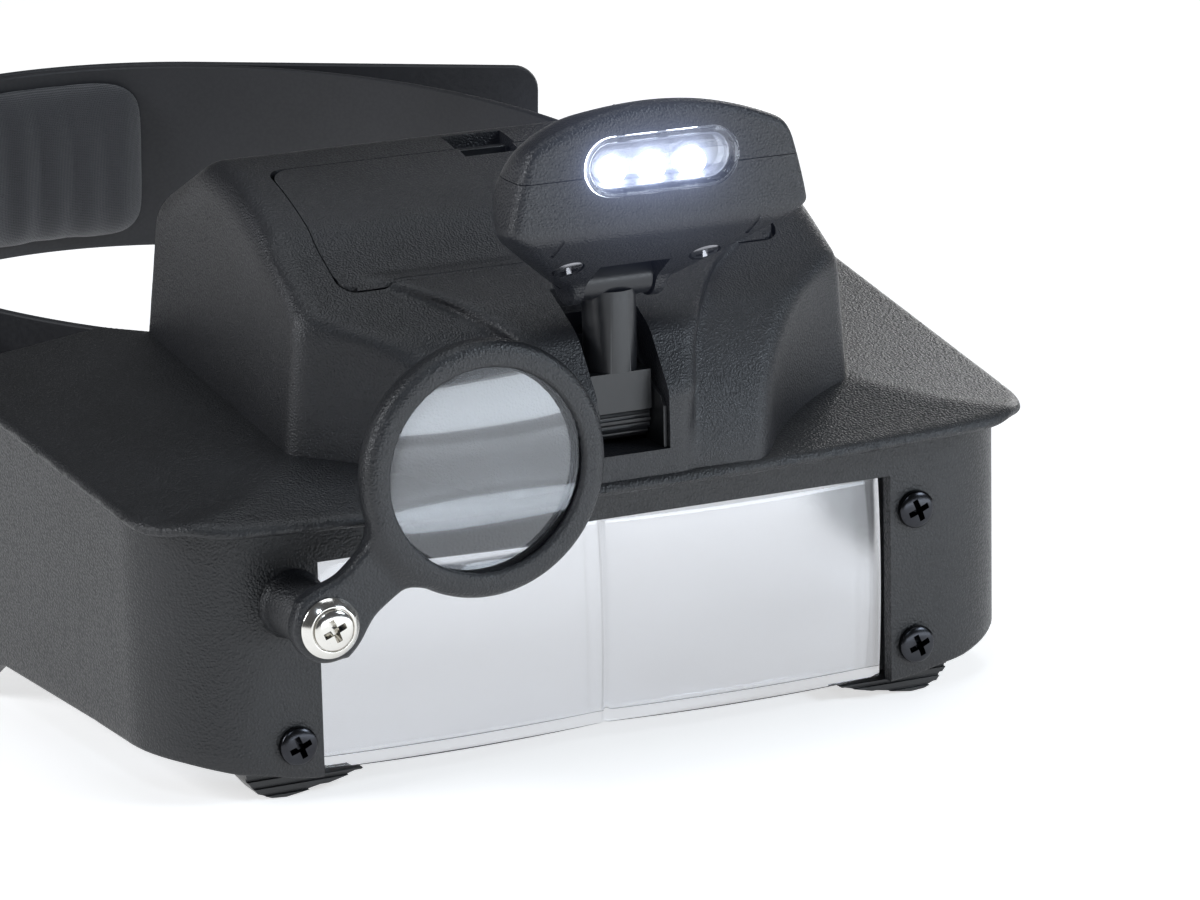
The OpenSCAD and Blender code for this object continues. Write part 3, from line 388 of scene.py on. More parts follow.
def make_grain_group():
    """Spark-eroded grain of a moulded face: pebbles of cells and fine noise, and slow mottling from the mould."""
    group, inlet, outlet = new_group("moulded grain", [("Scale", 2400), ("Slow Scale", 60)],
                                     ["Height", "Pebble", "Mottle"])
    place = group.nodes.new("ShaderNodeTexCoord").outputs["Object"]
    fine = add_node(group, "ShaderNodeTexNoise", {"Detail": 2.0, "Roughness": 0.55})
    cells = add_node(group, "ShaderNodeTexVoronoi", feature="F1")
    slow = add_node(group, "ShaderNodeTexNoise", {"Detail": 3.0, "Roughness": 0.6})
    scale = inlet.outputs["Scale"]
    for n, size in ((fine, scale), (cells, math_node(group, "MULTIPLY", scale, 0.8)),
                    (slow, inlet.outputs["Slow Scale"])):
        feed(group, (place, n.inputs["Vector"]), (size, n.inputs["Scale"]))
    pebble = math_node(group, "SUBTRACT", 1.0, cells.outputs["Distance"], clamp=True)
    height = math_node(group, "ADD", math_node(group, "MULTIPLY", fine.outputs["Fac"], 0.6),
                       math_node(group, "MULTIPLY", pebble, 0.5))
    feed(group, (height, outlet.inputs["Height"]), (pebble, outlet.inputs["Pebble"]),
         (slow.outputs["Fac"], outlet.inputs["Mottle"]))
    return group


def make_weave_group():
    """Knitted cover: two crossing waves of yarn with a little noise, and a mask of the gaps between the yarns."""
    group, inlet, outlet = new_group("knit", [("Yarns", 900), ("Fuzz", 0.35)], ["Height", "Gap"])
    place = group.nodes.new("ShaderNodeTexCoord").outputs["Object"]
    waves = []
    for direction in ("X", "Z"):
        wave = add_node(group, "ShaderNodeTexWave", {"Distortion": 1.2, "Detail": 1.0, "Detail Scale": 2.0},
                        bands_direction=direction)
        feed(group, (place, wave.inputs["Vector"]), (inlet.outputs["Yarns"], wave.inputs["Scale"]))
        waves.append(wave.outputs["Fac"])
    noise = add_node(group, "ShaderNodeTexNoise", {"Scale": 5000.0, "Detail": 2.0})
    yarn = math_node(group, "MAXIMUM", *waves)
    fuzz = math_node(group, "MULTIPLY", noise.outputs["Fac"], inlet.outputs["Fuzz"])
    feed(group, (place, noise.inputs["Vector"]), (math_node(group, "ADD", yarn, fuzz), outlet.inputs["Height"]),
         (math_node(group, "SUBTRACT", 1.0, yarn, clamp=True), outlet.inputs["Gap"]))
    return group


GRAIN = make_grain_group()
KNIT = make_weave_group()


def start_material(name, group=None, values=(), **constants):
    """Material with constants on its shader, and with a group that has its own values."""
    material = bpy.data.materials.new(name)
    material.use_nodes = True
    tree = material.node_tree
    shader = set_inputs(tree.nodes["Principled BSDF"], {key.replace("_", " "): v for key, v in constants.items()})
    outputs = add_node(tree, "ShaderNodeGroup", values, node_tree=group).outputs if group else None
    return material, tree, shader, outputs


def ramp(tree, source, dark, light, low=0.3, high=0.7):
    """Colour between two colours by a mask that runs from low to high."""
    n = add_node(tree, "ShaderNodeMapRange", {"From Min": low, "From Max": high})
    mix = add_node(tree, "ShaderNodeMix", {6: (*dark, 1), 7: (*light, 1)}, data_type="RGBA")
    feed(tree, (source, n.inputs["Value"]), (n.outputs[0], mix.inputs[0]))
    return mix.outputs[2]


def spread(tree, source, low, high):
    """Number from low to high as the mask goes from 0.3 to 0.7."""
    n = add_node(tree, "ShaderNodeMapRange", {"From Min": 0.3, "From Max": 0.7, "To Min": low, "To Max": high})
    feed(tree, (source, n.inputs["Value"]))
    return n.outputs[0]


def dress(tree, shader, colour, roughness, height=None, strength=0.0, depth=0.0):
    """Gives a shader its colour, its roughness and, where there is a height, a relief of a depth in millimetres."""
    feed(tree, (colour, shader.inputs["Base Color"]), (roughness, shader.inputs["Roughness"]))
    if height is not None:
        relief = add_node(tree, "ShaderNodeBump", {"Strength": strength, "Distance": depth * MM})
        feed(tree, (height, relief.inputs["Height"]), (relief.outputs["Normal"], shader.inputs["Normal"]))


def moulded(name, dark, light, rough, scale, depth, bump, slow=60):
    """Moulded plastic: the grain bends the light, its pebbles shift the gloss, and the mottling shifts the colour."""
    material, tree, shader, grain = start_material(name, GRAIN, {"Scale": scale, "Slow Scale": slow})
    dress(tree, shader, ramp(tree, grain["Mottle"], dark, light), spread(tree, grain["Pebble"], rough[1], rough[0]),
          grain["Height"], bump, depth)
    return material


def metal(name, dark, light, rough):
    """Plated metal: a mirror with fine turning marks in its roughness and relief."""
    material, tree, shader, grain = start_material(name, GRAIN, {"Scale": 900, "Slow Scale": 200}, Metallic=1.0)
    dress(tree, shader, ramp(tree, grain["Mottle"], dark, light), spread(tree, grain["Mottle"], *rough),
          grain["Height"], 0.08, 0.01)
    return material


def clear(name, tint, ior, rough=0.0, veil=0.0):
    """Clear acrylic: full transmission with faint haze from handling; light reaches what is behind it unblocked.
    The veil is the share of light that a coated face mirrors."""
    material, tree, shader, grain = start_material(name, GRAIN, {"Scale": 300, "Slow Scale": 40},
                                                   Transmission_Weight=1.0, IOR=ior)
    dress(tree, shader, ramp(tree, grain["Mottle"], [0.985 * t for t in tint], tint),
          spread(tree, grain["Mottle"], rough, rough + 0.015))
    face = shader
    if veil:
        mirror = add_node(tree, "ShaderNodeBsdfGlossy", {"Roughness": 0.08, "Color": (0.9, 0.94, 1.0, 1)})
        face = mix_shaders(tree, veil, shader, mirror)
    through = add_node(tree, "ShaderNodeBsdfTransparent", {"Color": (*[0.96 * t for t in tint], 1)})
    path = tree.nodes.new("ShaderNodeLightPath")
    either = math_node(tree, "MAXIMUM", path.outputs["Is Shadow Ray"], path.outputs["Is Diffuse Ray"])
    whole = mix_shaders(tree, either, face, through)
    feed(tree, (whole.outputs[0], tree.nodes["Material Output"].inputs["Surface"]))
    return material


def glowing(name, colour, strength):
    """Lit diode: bright at every point, a little uneven from the phosphor under its dome."""
    material, tree, shader, grain = start_material(name, GRAIN, {"Scale": 1200, "Slow Scale": 500},
                                                   Emission_Strength=strength)
    shade = ramp(tree, grain["Mottle"], [0.9 * c for c in colour], colour)
    feed(tree, (shade, shader.inputs["Emission Color"]), (shade, shader.inputs["Base Color"]))
    return material


def knitted(name, dark, light):
    """Soft cover of a pad: knit with painted shade darkening the gaps between the yarns, and a little sheen."""
    material, tree, shader, knit = start_material(name, KNIT, Sheen_Weight=0.25)
    # Painted shade: the colour runs from the light yarn tone to the dark tone in the gaps between the yarns.
    dress(tree, shader, ramp(tree, knit["Gap"], light, dark, 0.1, 0.8), spread(tree, knit["Gap"], 0.8, 0.95),
          knit["Height"], 0.6, 0.25)
    return material


VISOR = moulded("grained black plastic", (0.010, 0.0105, 0.012), (0.014, 0.0145, 0.0165), (0.34, 0.5), 2800, 0.19, 1.0)
HOUSING = moulded("housing black plastic", (0.010, 0.0105, 0.0125), (0.014, 0.0145, 0.0175), (0.32, 0.48), 3300, 0.165,
                  1.0)
LAMP = moulded("satin black plastic", (0.010, 0.0105, 0.013), (0.014, 0.015, 0.018), (0.28, 0.44), 2900, 0.21, 1.0)
LOUPE = moulded("loupe black plastic", (0.010, 0.011, 0.013), (0.015, 0.016, 0.019), (0.30, 0.46), 2700, 0.20, 1.0)
SMOOTH = moulded("smooth black plastic", (0.009, 0.0095, 0.011), (0.013, 0.0135, 0.015), (0.28, 0.36), 1500, 0.02, 0.3)
INNER = moulded("inner black plastic", (0.009, 0.009, 0.010), (0.014, 0.014, 0.015), (0.45, 0.6), 1500, 0.04, 0.4)
BAND = moulded("band plastic", (0.012, 0.0125, 0.015), (0.017, 0.0175, 0.021), (0.5, 0.6), 1600, 0.04, 0.4, 30)
HOOK = moulded("hook patch", (0.008, 0.008, 0.009), (0.02, 0.02, 0.022), (0.85, 0.95), 1300, 0.4, 1.0, 700)
BLACK_SCREW = metal("black oxide steel", (0.03, 0.03, 0.034), (0.05, 0.052, 0.058), (0.2, 0.28))
NICKEL = metal("bright nickel", (0.66, 0.64, 0.60), (0.74, 0.72, 0.68), (0.1, 0.18))
DARK_STEEL = metal("blackened steel", (0.22, 0.22, 0.235), (0.36, 0.36, 0.38), (0.16, 0.26))
STEEL = metal("steel", (0.42, 0.43, 0.45), (0.55, 0.56, 0.58), (0.22, 0.34))
# The grey in the main and flip lens tints is partly the acrylic's own loss and partly painted shade: it darkens the
# view through the window as the shade under the visor would.
LENS = clear("clear acrylic", (0.88, 0.885, 0.9), 1.45, 0.03, 0.04)
FLIP_LENS = clear("flip lens acrylic", (0.87, 0.875, 0.89), 1.45, 0.14, 0.02)
LOUPE_GLASS = clear("loupe acrylic", (0.93, 0.945, 0.965), 1.5, 0.0, 0.045)
LAMP_GLASS = clear("lamp window acrylic", (0.96, 0.97, 1.0), 1.4, 0.01)
REFLECTOR = moulded("frosted reflector", (0.10, 0.105, 0.12), (0.16, 0.165, 0.185), (0.3, 0.42), 1300, 0.25, 1.0, 900)
DIODE = glowing("lit diode", (0.84, 0.9, 1.0), 12.0)
CELL = moulded("cell jacket", (0.02, 0.06, 0.14), (0.03, 0.08, 0.17), (0.3, 0.38), 800, 0.01, 0.1)
LEAD = moulded("lead jacket", (0.25, 0.02, 0.02), (0.32, 0.03, 0.03), (0.45, 0.55), 800, 0.01, 0.1)
BOARD = moulded("board", (0.02, 0.09, 0.05), (0.03, 0.12, 0.06), (0.4, 0.5), 700, 0.02, 0.2)
# The pad cover's dark tone is painted shade for the gaps of the knit.
PAD = knitted("knitted pad cover", (0.012, 0.0125, 0.015), (0.035, 0.036, 0.042))


# Visor shell

def brim_front(x):
    """Front edge of the roof in plan: a parabola across the face."""
    return BRIM_FRONT + 6.0 * (x / 70.0) ** 2


def brim_side(y):
    """Side edge of the roof in plan: a line that widens to the rear."""
    return SIDE_X + 2.0 + SIDE_SLOPE * (y - 10.0)


def roof_height(x, y):
    """Top of the roof: the lowest of a front slope, two side slopes and a gently climbing flat, with soft hips."""
    x = np.abs(x)
    edge = brim_front(np.minimum(x, 72))
    flat = PLATEAU[2] + 0.115 * (y - PLATEAU[1])
    front = BRIM_Z + (PLATEAU[2] - BRIM_Z) * (y - edge) / (PLATEAU[1] - edge)
    low_side = BRIM_Z + 0.118 * (np.maximum(y, 4) - 4)
    side = low_side + (flat - low_side) * (brim_side(y) - x) / (brim_side(y) - PLATEAU[0])
    return join_soft(join_soft(front, side, 0.5), flat, 0.5)


def roof_field(x, y, z):
    """Roof: between its top and a parallel underside, inside its plan, with a rolled edge."""
    wide = np.abs(x)
    out, ahead = wide - CORNER[0], CORNER[1] - y
    turning = (out > 0.164 * ahead) & (ahead > -SIDE_SLOPE * out)
    plan = np.maximum(brim_front(wide) - y, wide - brim_side(y))
    plan = np.where(turning, np.hypot(out, ahead) - CORNER[2], plan)
    rear = np.maximum(y - ROOF_REAR, HEAD_R - np.hypot(x, y - PIVOT_Y))
    top = roof_height(x, y)
    slab = meet_soft(z - top, top - ROOF_T - z, 0.4)
    return meet_soft(meet_soft(slab, plan, 1.8), rear, 0.8)


def wall_path():
    """Plan of the wall from the left arm's end round the front to the right one: straight, round corner, straight."""
    side = np.concatenate([np.linspace(PIVOT_Y + BOSS_R, ARM_START, 40), np.linspace(ARM_START, WALL_CORNER, 52)[1:-1]])
    x = np.where(side > ARM_START, ARM_HALF, SIDE_X + SIDE_SLOPE * (side - WALL_CORNER))
    turn = np.radians(np.linspace(0, -90, 16))
    arc = np.stack([WALL_FLAT + WALL_CORNER * np.cos(turn), WALL_CORNER + WALL_CORNER * np.sin(turn)], 1)
    front = np.stack([np.linspace(WALL_FLAT, 0, 16)[1:], np.zeros(15)], 1)
    half = np.concatenate([np.stack([x, side], 1), arc, front])
    return np.concatenate([half * [-1, 1], half[-2::-1]])


def ease(u):
    """Smooth step from 0 to 1: three squares less two cubes of the clipped share."""
    u = np.clip(u, 0, 1)
    return u * u * (3 - 2 * u)


def wall_solid():
    """Wall: a rounded strip profile carried along the plan; its lower and upper ends are functions of the place."""
    path = wall_path()
    tangent = np.gradient(path, axis=0)
    inward = np.stack([-tangent[:, 1], tangent[:, 0]], 1)
    inward /= np.linalg.norm(inward, axis=1)[:, None]
    x, y = np.abs(path[:, 0]), path[:, 1]
    low_x = [54, 58, 62, 66, 70, 74, 78, 80]
    low_z = [3.3, 4, 5, 5.5, 6.5, 7.5, 8.25, 8.75]
    side_low = low_z[-1] * (1 - ease((y - 66) / 18))
    knee, peak = ((PIVOT_Y + BOSS_R * np.cos(a), PIVOT_Z + BOSS_R * np.sin(a)) for a in np.radians([-60, 110]))
    round_end = np.sqrt(np.maximum(BOSS_R ** 2 - (y - PIVOT_Y) ** 2, 0))
    arm_low = np.where(y < knee[0], (y - ARM_START) * knee[1] / (knee[0] - ARM_START), PIVOT_Z - round_end)
    low = np.where(y < 30, np.interp(x, low_x, low_z), np.where(y < ARM_START, side_low, arm_low))
    arm_high = np.interp(y, [78, peak[0]], [54.0, peak[1]])
    high = np.where(y < 79.5, roof_height(path[:, 0], y) - 1.1, np.where(y < peak[0], arm_high, PIVOT_Z + round_end))
    # Offset inwards, share of the height, and small lift at the ends of the profile
    r, rows = 0.55, 14
    up = np.linspace(0, 1, rows)
    profile = np.concatenate([np.stack([np.zeros(rows), up, np.zeros(rows)], 1),
                              np.stack([np.full(rows, WALL_T), up[::-1], np.zeros(rows)], 1)])
    profile[0, 2] = profile[-1, 2] = r
    profile[rows - 1, 2] = profile[rows, 2] = -r * 0.5
    foot = np.array([[WALL_T - 0.16, 0, 0.16], [WALL_T - r, 0, 0], [r, 0, 0], [0.16, 0, 0.16]])
    profile = np.concatenate([profile, foot])
    tall = np.maximum(high - low, 0.0)
    lift = profile[None, :, 2] * np.minimum(1, tall / 4)[:, None]
    z = low[:, None] + tall[:, None] * profile[None, :, 1] + lift
    plan = path[:, None, :] + inward[:, None, :] * profile[None, :, 0, None]
    return closed_sweep(np.concatenate([plan, z[..., None]], -1))


def loupe_axis(y):
    """Point on the axis that the loupe turns on."""
    return LOUPE_PIVOT[0], y, LOUPE_PIVOT[1]


def make_visor():
    """Roof and wall in one piece, with inner bosses at the pivots, the window, screw holes and pivot holes."""
    roof = new_object("visor", *skin_of(roof_field, (-87, -13, 43), (87, 86, 65), VISOR_CELL))
    cuts = [block(-WINDOW_HALF, WINDOW_HALF, -2, 4, -2, WINDOW_TOP)]
    cuts += [rod(SCREW_BORE, (x, -2, z), (x, 5, z), 24) for x, z in SCREWS]
    cuts += [rod(LOUPE_BORE, loupe_axis(-2), loupe_axis(5), 32), *pivot_rods(PIVOT_BORE, 70, 90, 32)]
    carved(roof, adds=[wall_solid(), *pivot_rods(BOSS_R - 2, 79.8, 82.5)], cuts=cuts)
    finished(roof, "visor", VISOR, "visor_shell", 55)


# Battery housing

RIDGE_Y = [8.2, 12, 16, 20, 24, 28, 32.5, 37, 42, 48, 54.5, 66.4, 78.6]
RIDGE_Z = [74.6, 77, 79.6, 82.3, 84.7, 86.9, 89, 90.8, 92.4, 93.8, 94.6, 88.7, 82.8]
CHEEK_Z = [47.6, 48.7, 52, 56, 60.5, 65, 68.5, 72, 75.3, 79.5, 85]
CHEEK_Y = [-9.3, -9.3, -8.8, -7.5, -5.5, -2.5, 0.5, 4, 8, 15, 26]


def smooth_line(x, xs, ys, width):
    """Line through points with its bends rounded: the mean of the line over a width, by nine samples."""
    return sum(np.interp(x + d, xs, ys) for d in np.linspace(-width, width, 9)) / 9


def housing_body(x, y, z):
    """Housing without its tower: under a curved ridge, between leaning sides, behind the curved front of its centre
    column and outside two upright cylinders that hollow its flanks, with soft edges."""
    wide = np.abs(x)
    ridge = smooth_line(y, RIDGE_Y, RIDGE_Z, 2.5)
    top = (z - ridge) * 0.9
    side = (wide - (PLATEAU[0] - (z - PLATEAU[2]) * 0.083)) * 0.996
    front = (smooth_line(z, CHEEK_Z, CHEEK_Y, 1.5) - y) * 0.8
    flank = FLANK[2] - np.hypot(wide - FLANK[0], y - FLANK[1])
    shape = meet_soft(top, side, SOFT_SIDE)
    shape = meet_soft(shape, flank, SOFT_FLANK)
    shape = meet_soft(shape, front, SOFT_FRONT)
    return meet_soft(shape, HEAD_R - np.hypot(x, y - PIVOT_Y), SOFT_HEAD)


TOWER_Z = [47.6, 61.4, 62.8, 70.8, 72.2, 74.2, 77.2, 79.6, 82]
TOWER_Y = [-9.6, -9.5, -8.9, -3.0, -1.2, 2.6, 8.6, 15.2, 24]
TOWER_W = [11.2, 11.5, 11.9, 12.5, 14.0, 15.1, 16.8, 18.6, 21.0, 24.9, 29.5, 34]
TOWER_WZ = [47.6, 53.1, 58.4, 61.8, 66.2, 68.7, 71.2, 73.3, 75.3, 77.2, 79.1, 80.5]


def housing_field(x, y, z):
    """Housing with the tower that stands a little proud of its column, flares at the top and carries the lamp."""
    half = smooth_line(z, TOWER_WZ, TOWER_W, 1.6)
    tower = meet_soft((smooth_line(z, TOWER_Z, TOWER_Y, 0.7) - y) * 0.85, (np.abs(x) - half) * 0.8, 3.2)
    tower = np.maximum(tower, np.maximum(y - 16, z - 79.8))
    body = join_soft(housing_body(x, y, z), tower, np.interp(z, [62, 73], [1.0, 3.4]))
    return np.maximum(body, roof_height(x, y) - 1.2 - z)


def make_housing():
    """Housing cut for the lamp's recess, the cover's pocket, the cell bay and the finger recess, and its cover."""
    points, quads = skin_of(housing_field, (-54, -13, 45), (54, 76, 98), HOUSING_CELL)
    half, front, rear, thick = COVER
    shape = new_object("housing", points, quads)
    pocket_floor = new_object("floor", points - [0, 0, thick + 0.05], quads)
    pocket = carved(new_object("pocket", *rounded_prism(-half, half, front, rear, 70, 110, 3)), cuts=[pocket_floor])
    bay, bay_faces = block(-25.9, 25.9, -16.8, 16.8, -6.5, 20)
    bay = bay @ turn_x(math.radians(25)).T + [0, (front + rear) / 2, 79]
    carved(shape, cuts=[
        block(-SLOT_HALF, SLOT_HALF, -30, SLOT_REAR, SLOT_LOW, 100), pocket,
        carved(new_object("bay", bay, bay_faces), keep=[block(-60, 60, front + 0.4, rear - 0.4, 40, 120)]),
        block(-5.5, 5.5, rear - 3, 52, 87.8, 120)])
    finished(shape, "visor", HOUSING, "battery_housing", 75)

    gap = 0.2
    lip_y, lip_z, lip_r = LIP
    lid = new_object("battery_lid", points, quads)
    inner = new_object("floor", points - [0, 0, thick], quads)
    carved(lid, keep=[rounded_prism(-half + gap, half - gap, front + gap, rear - gap, 60, 110, 4.4)],
           cuts=[inner, block(-60, 60, front, lip_y, 60, 120), block(-60, 60, front, lip_y + 2.2, 60, lip_z - lip_r),
                 block(-5, 5, rear - 3.2, rear + 1, 60, 120)])
    lip = new_object("lip", *rod(lip_r, (3 - half, lip_y, lip_z), (half - 3, lip_y, lip_z), 32))
    carved(lid, adds=[carved(lip, keep=[new_object("form", points, quads)])])
    finished(lid, "cover", HOUSING, "battery_cover", 75)


# Lamp

LAMP_Z = 102.8
PARTING = 101.5
HEAD_FACE = -21.5
HEAD_HINGE = (-1.6, 80.5)
DIODE_DROP = -1.4
UNDER_TILT = math.radians(36.6)
UNDER_INTO = np.array([0, math.sin(UNDER_TILT), math.cos(UNDER_TILT)])
UNDER_SEAT = np.array([12.1, -11.7, 84.8])
PANE_HALF_L, PANE_HALF_H = 13.54, 4.84


def plane(a, b, c):
    """Half-space through three points of the right half, facing away from the lamp head's middle."""
    a, b, c = (np.asarray(p, float) for p in (a, b, c))
    n = np.cross(b - a, c - a)
    n /= np.linalg.norm(n)
    if n @ (a - np.array([0, -12, 98.0])) < 0:
        n = -n
    return lambda x, y, z: n[0] * x + n[1] * y + n[2] * z - n @ a


HEAD_PLANES = [
    (plane((0, -21.5, 95), (5, -21.5, 95), (0, -21.5, 105)), 2.2),
    (plane((26.1, -20, 95), (25.0, -20, 101.7), (25.0, -10.4, 101.5)), 2.2),
    (plane((25.0, -20, 101.7), (22.9, -20, 107.4), (24.5, -11, 102.5)), 2.0),
    (plane((25.0, -10.6, 101.5), (25.0, -9.4, 96), (12.0, 2.0, 97.5)), 3.0),
    (plane((24.6, -12.6, 90.6), (25.2, -9.2, 96.8), (10.2, 2.0, 80.5)), 3.0),
    (plane((0, -21.3, 91.9), (8, -21.3, 91.9), (0, -5.4, 80.1)), 1.8),
    (plane((24.8, -21.3, 92.4), (24.6, -12.6, 90.4), (10.5, -5.4, 80.1)), 1.2),
    (plane((10.3, 2.0, 97.5), (0, 2.0, 97.5), (0, 2.0, 82)), 2.0),
    (plane((10.2, 2.0, 80.5), (10.5, -5.4, 80.1), (24.6, -12.6, 90.4)), 1.5),
    (plane((10, -2.9, 105.9), (0, -2.9, 105.9), (0, 2.0, 97.5)), 4.0),
    (plane((14, -7, 108.3), (0, -7, 108.6), (0, -2.9, 105.9)), 4.0),
    (plane((24.6, -11, 102), (22.8, -16.5, 107.6), (13.4, -7, 108.4)), 3.0),
]


def head_field(x, y, z):
    """Lamp head: under an arched top and inside planes that meet in soft edges; both halves are alike."""
    x = np.abs(x)
    shape = (z - (112.5 - 0.0105 * x * x - 0.096 * np.maximum(y - HEAD_FACE, 0))) * 0.98
    for half_space, r in HEAD_PLANES:
        shape = meet_soft(shape, half_space(x, y, z), r)
    ears = meet_soft(np.hypot(y - HEAD_HINGE[0], z - HEAD_HINGE[1]) - 4.0, x - 8.5, 0.8)
    return join_soft(shape, ears, 1.0)


def capsule(half_l, half_h, rows):
    """Closed form with round ends that runs along Y: each row is an outline drawn in by an amount at a place along
    Y, and the first and last rows are drawn in to a line."""
    a = np.linspace(-np.pi / 2, np.pi / 2, 24)
    points = []
    for inset, y in rows:
        r = max(half_h - inset, 0.0)
        right = np.stack([half_l - half_h + r * np.cos(a), r * np.sin(a)], 1)
        plan = np.concatenate([right, -right])
        points.append(np.stack([plan[:, 0], np.full(len(plan), HEAD_FACE + y), LAMP_Z + plan[:, 1]], 1))
    return np.concatenate(points), grid_quads(len(rows), 2 * len(a), wrap_cols=True)


def make_lamp_head():
    """Lower and upper shells cut from one form along the parting line, with the window and what is cut below."""
    form = skin_of(head_field, (-28, -24, 74), (28, 5, 115), LAMP_CELL)
    hollow = block(-14.6, 14.6, HEAD_FACE + 2.8, -8.5, LAMP_Z - 6.4, LAMP_Z + 5.6)
    window = capsule(13.6, 4.9, ((4.9, -3), (0, -3), (0, 5), (4.9, 5)))
    cuts = [hollow, window, block(-6.3, 6.3, -30, 20, 60, HEAD_HINGE[1] + 3.9),
            rod(1.25, (-12, *HEAD_HINGE), (12, *HEAD_HINGE), 24)]
    for m in (-1, 1):
        seat = UNDER_SEAT * [m, 1, 1]
        cuts.append(rod(2.7, seat - 9 * UNDER_INTO, seat + 0.95 * UNDER_INTO, 32))
        cuts.append(rod(1.15, seat, seat + 10 * UNDER_INTO, 24))
        # Short groove in the slope under the head
        cuts.append(rod(0.38, (m * 17.2, -23.5, 93.55), (m * 17.2, -16.4, 88.25), 12))
    lower = carved(new_object("lamp_lower", *form), keep=[block(-40, 40, -40, 20, 60, PARTING - 0.06)], cuts=cuts)
    finished(lower, "lamp", LAMP, "lamp_lower_shell", 38)
    upper = carved(new_object("lamp_upper", *form), keep=[block(-40, 40, -40, 20, PARTING + 0.06, 130)],
                   cuts=[hollow, window, block(-2.8, 6.8, -11.7, -7.3, 100, 130)])
    finished(upper, "lamp", LAMP, "lamp_upper_shell", 38)


def make_lamp_inside():
    """Clear window with a raised rim, grained reflector behind it, and three domed diodes in its holes."""
    half_l, half_h = PANE_HALF_L, PANE_HALF_H
    rim = ((half_h, 0.75), (1.7, 0.7), (1.2, 0.6), (0.95, 0.2), (0.75, 0), (0.3, -0.05), (0.05, 0.15), (0, 0.4),
           (0, 1.9), (half_h, 1.9))
    finished(new_object("clear_window", *capsule(half_l, half_h, rim)), "lamp", LAMP_GLASS,
             "lamp_window", 50)
    tray = new_object("grained_reflector",
                      *capsule(half_l, half_h, ((half_h, 1.95), (0, 1.95), (0, 7), (half_h, 7))))
    bowl = capsule(half_l, half_h, ((half_h, 0), (0.9, 0), (0.9, 3.0), (1.5, 4.6), (half_h, 4.8)))
    y, z = HEAD_FACE, LAMP_Z + DIODE_DROP
    spots = (-7.0, 0.0, 7.0)
    carved(tray, cuts=[bowl] + [rod(2.55, (x, y - 4, z), (x, y + 20, z), 40) for x in spots])
    finished(tray, "lamp", REFLECTOR, "lamp_reflector", 50)
    a = np.linspace(0, np.pi / 2, 10)
    profile = np.concatenate([np.stack([2.48 * np.sin(a), 2.48 * np.cos(a)], 1), [(2.48, -3.2), (0, -3.2)]])
    diodes = joined([new_object("lit_diodes", *turned(profile, (x, y + 4.7, z), (0, -1, 0), 40)) for x in spots])
    finished(diodes, "lamp", DIODE, "lamp_leds", 50)


# Loupe

LOUPE_TURN = math.radians(38.9)
LOUPE_REACH = 35.1
LOUPE_OFF = 11.8
ARM_T = 3.5
LOUPE_CURVE = 115.0
LOUPE_MIDDLE = LOUPE_OFF + 2.6
RING_R, RING_OPEN, RING_SEAT, GLASS_R = 21.0, 16.7, 17.85, 17.7


def loupe_frame(x, z):
    """Place along and across the loupe's arm of a point in the face's plane."""
    dx, dz = x - LOUPE_PIVOT[0], z - LOUPE_PIVOT[1]
    c, s = math.cos(LOUPE_TURN), math.sin(LOUPE_TURN)
    return dx * c + dz * s, -dx * s + dz * c


def loupe_field(x, y, z):
    """Loupe: a round pivot end and a waisted arm that flow into a rolled ring with a stepped, open middle."""
    u, v = loupe_frame(x, z)
    away = np.hypot(u - LOUPE_REACH, v)
    end = np.hypot(u, v) - 6.0
    half = 4.6 + 0.012 * (u - 7) ** 2
    arm = np.maximum(np.abs(v) - half, np.maximum(-u, u - LOUPE_REACH + 18))
    plan = join_soft(end, arm, 3.0)
    plate = meet_soft(plan, np.abs(y + LOUPE_OFF + ARM_T / 2) - ARM_T / 2, 1.2)
    ring = meet_soft(away - RING_R, np.abs(y + LOUPE_MIDDLE) - 2.6, 2.4)
    whole = join_soft(plate, ring, 2.6)
    whole = meet_soft(whole, RING_OPEN - away, 0.9)
    whole = np.maximum(whole, -np.maximum(away - RING_SEAT, -(LOUPE_OFF + 4.0) - y))
    return np.maximum(whole, LOUPE_BORE - np.hypot(u, v))


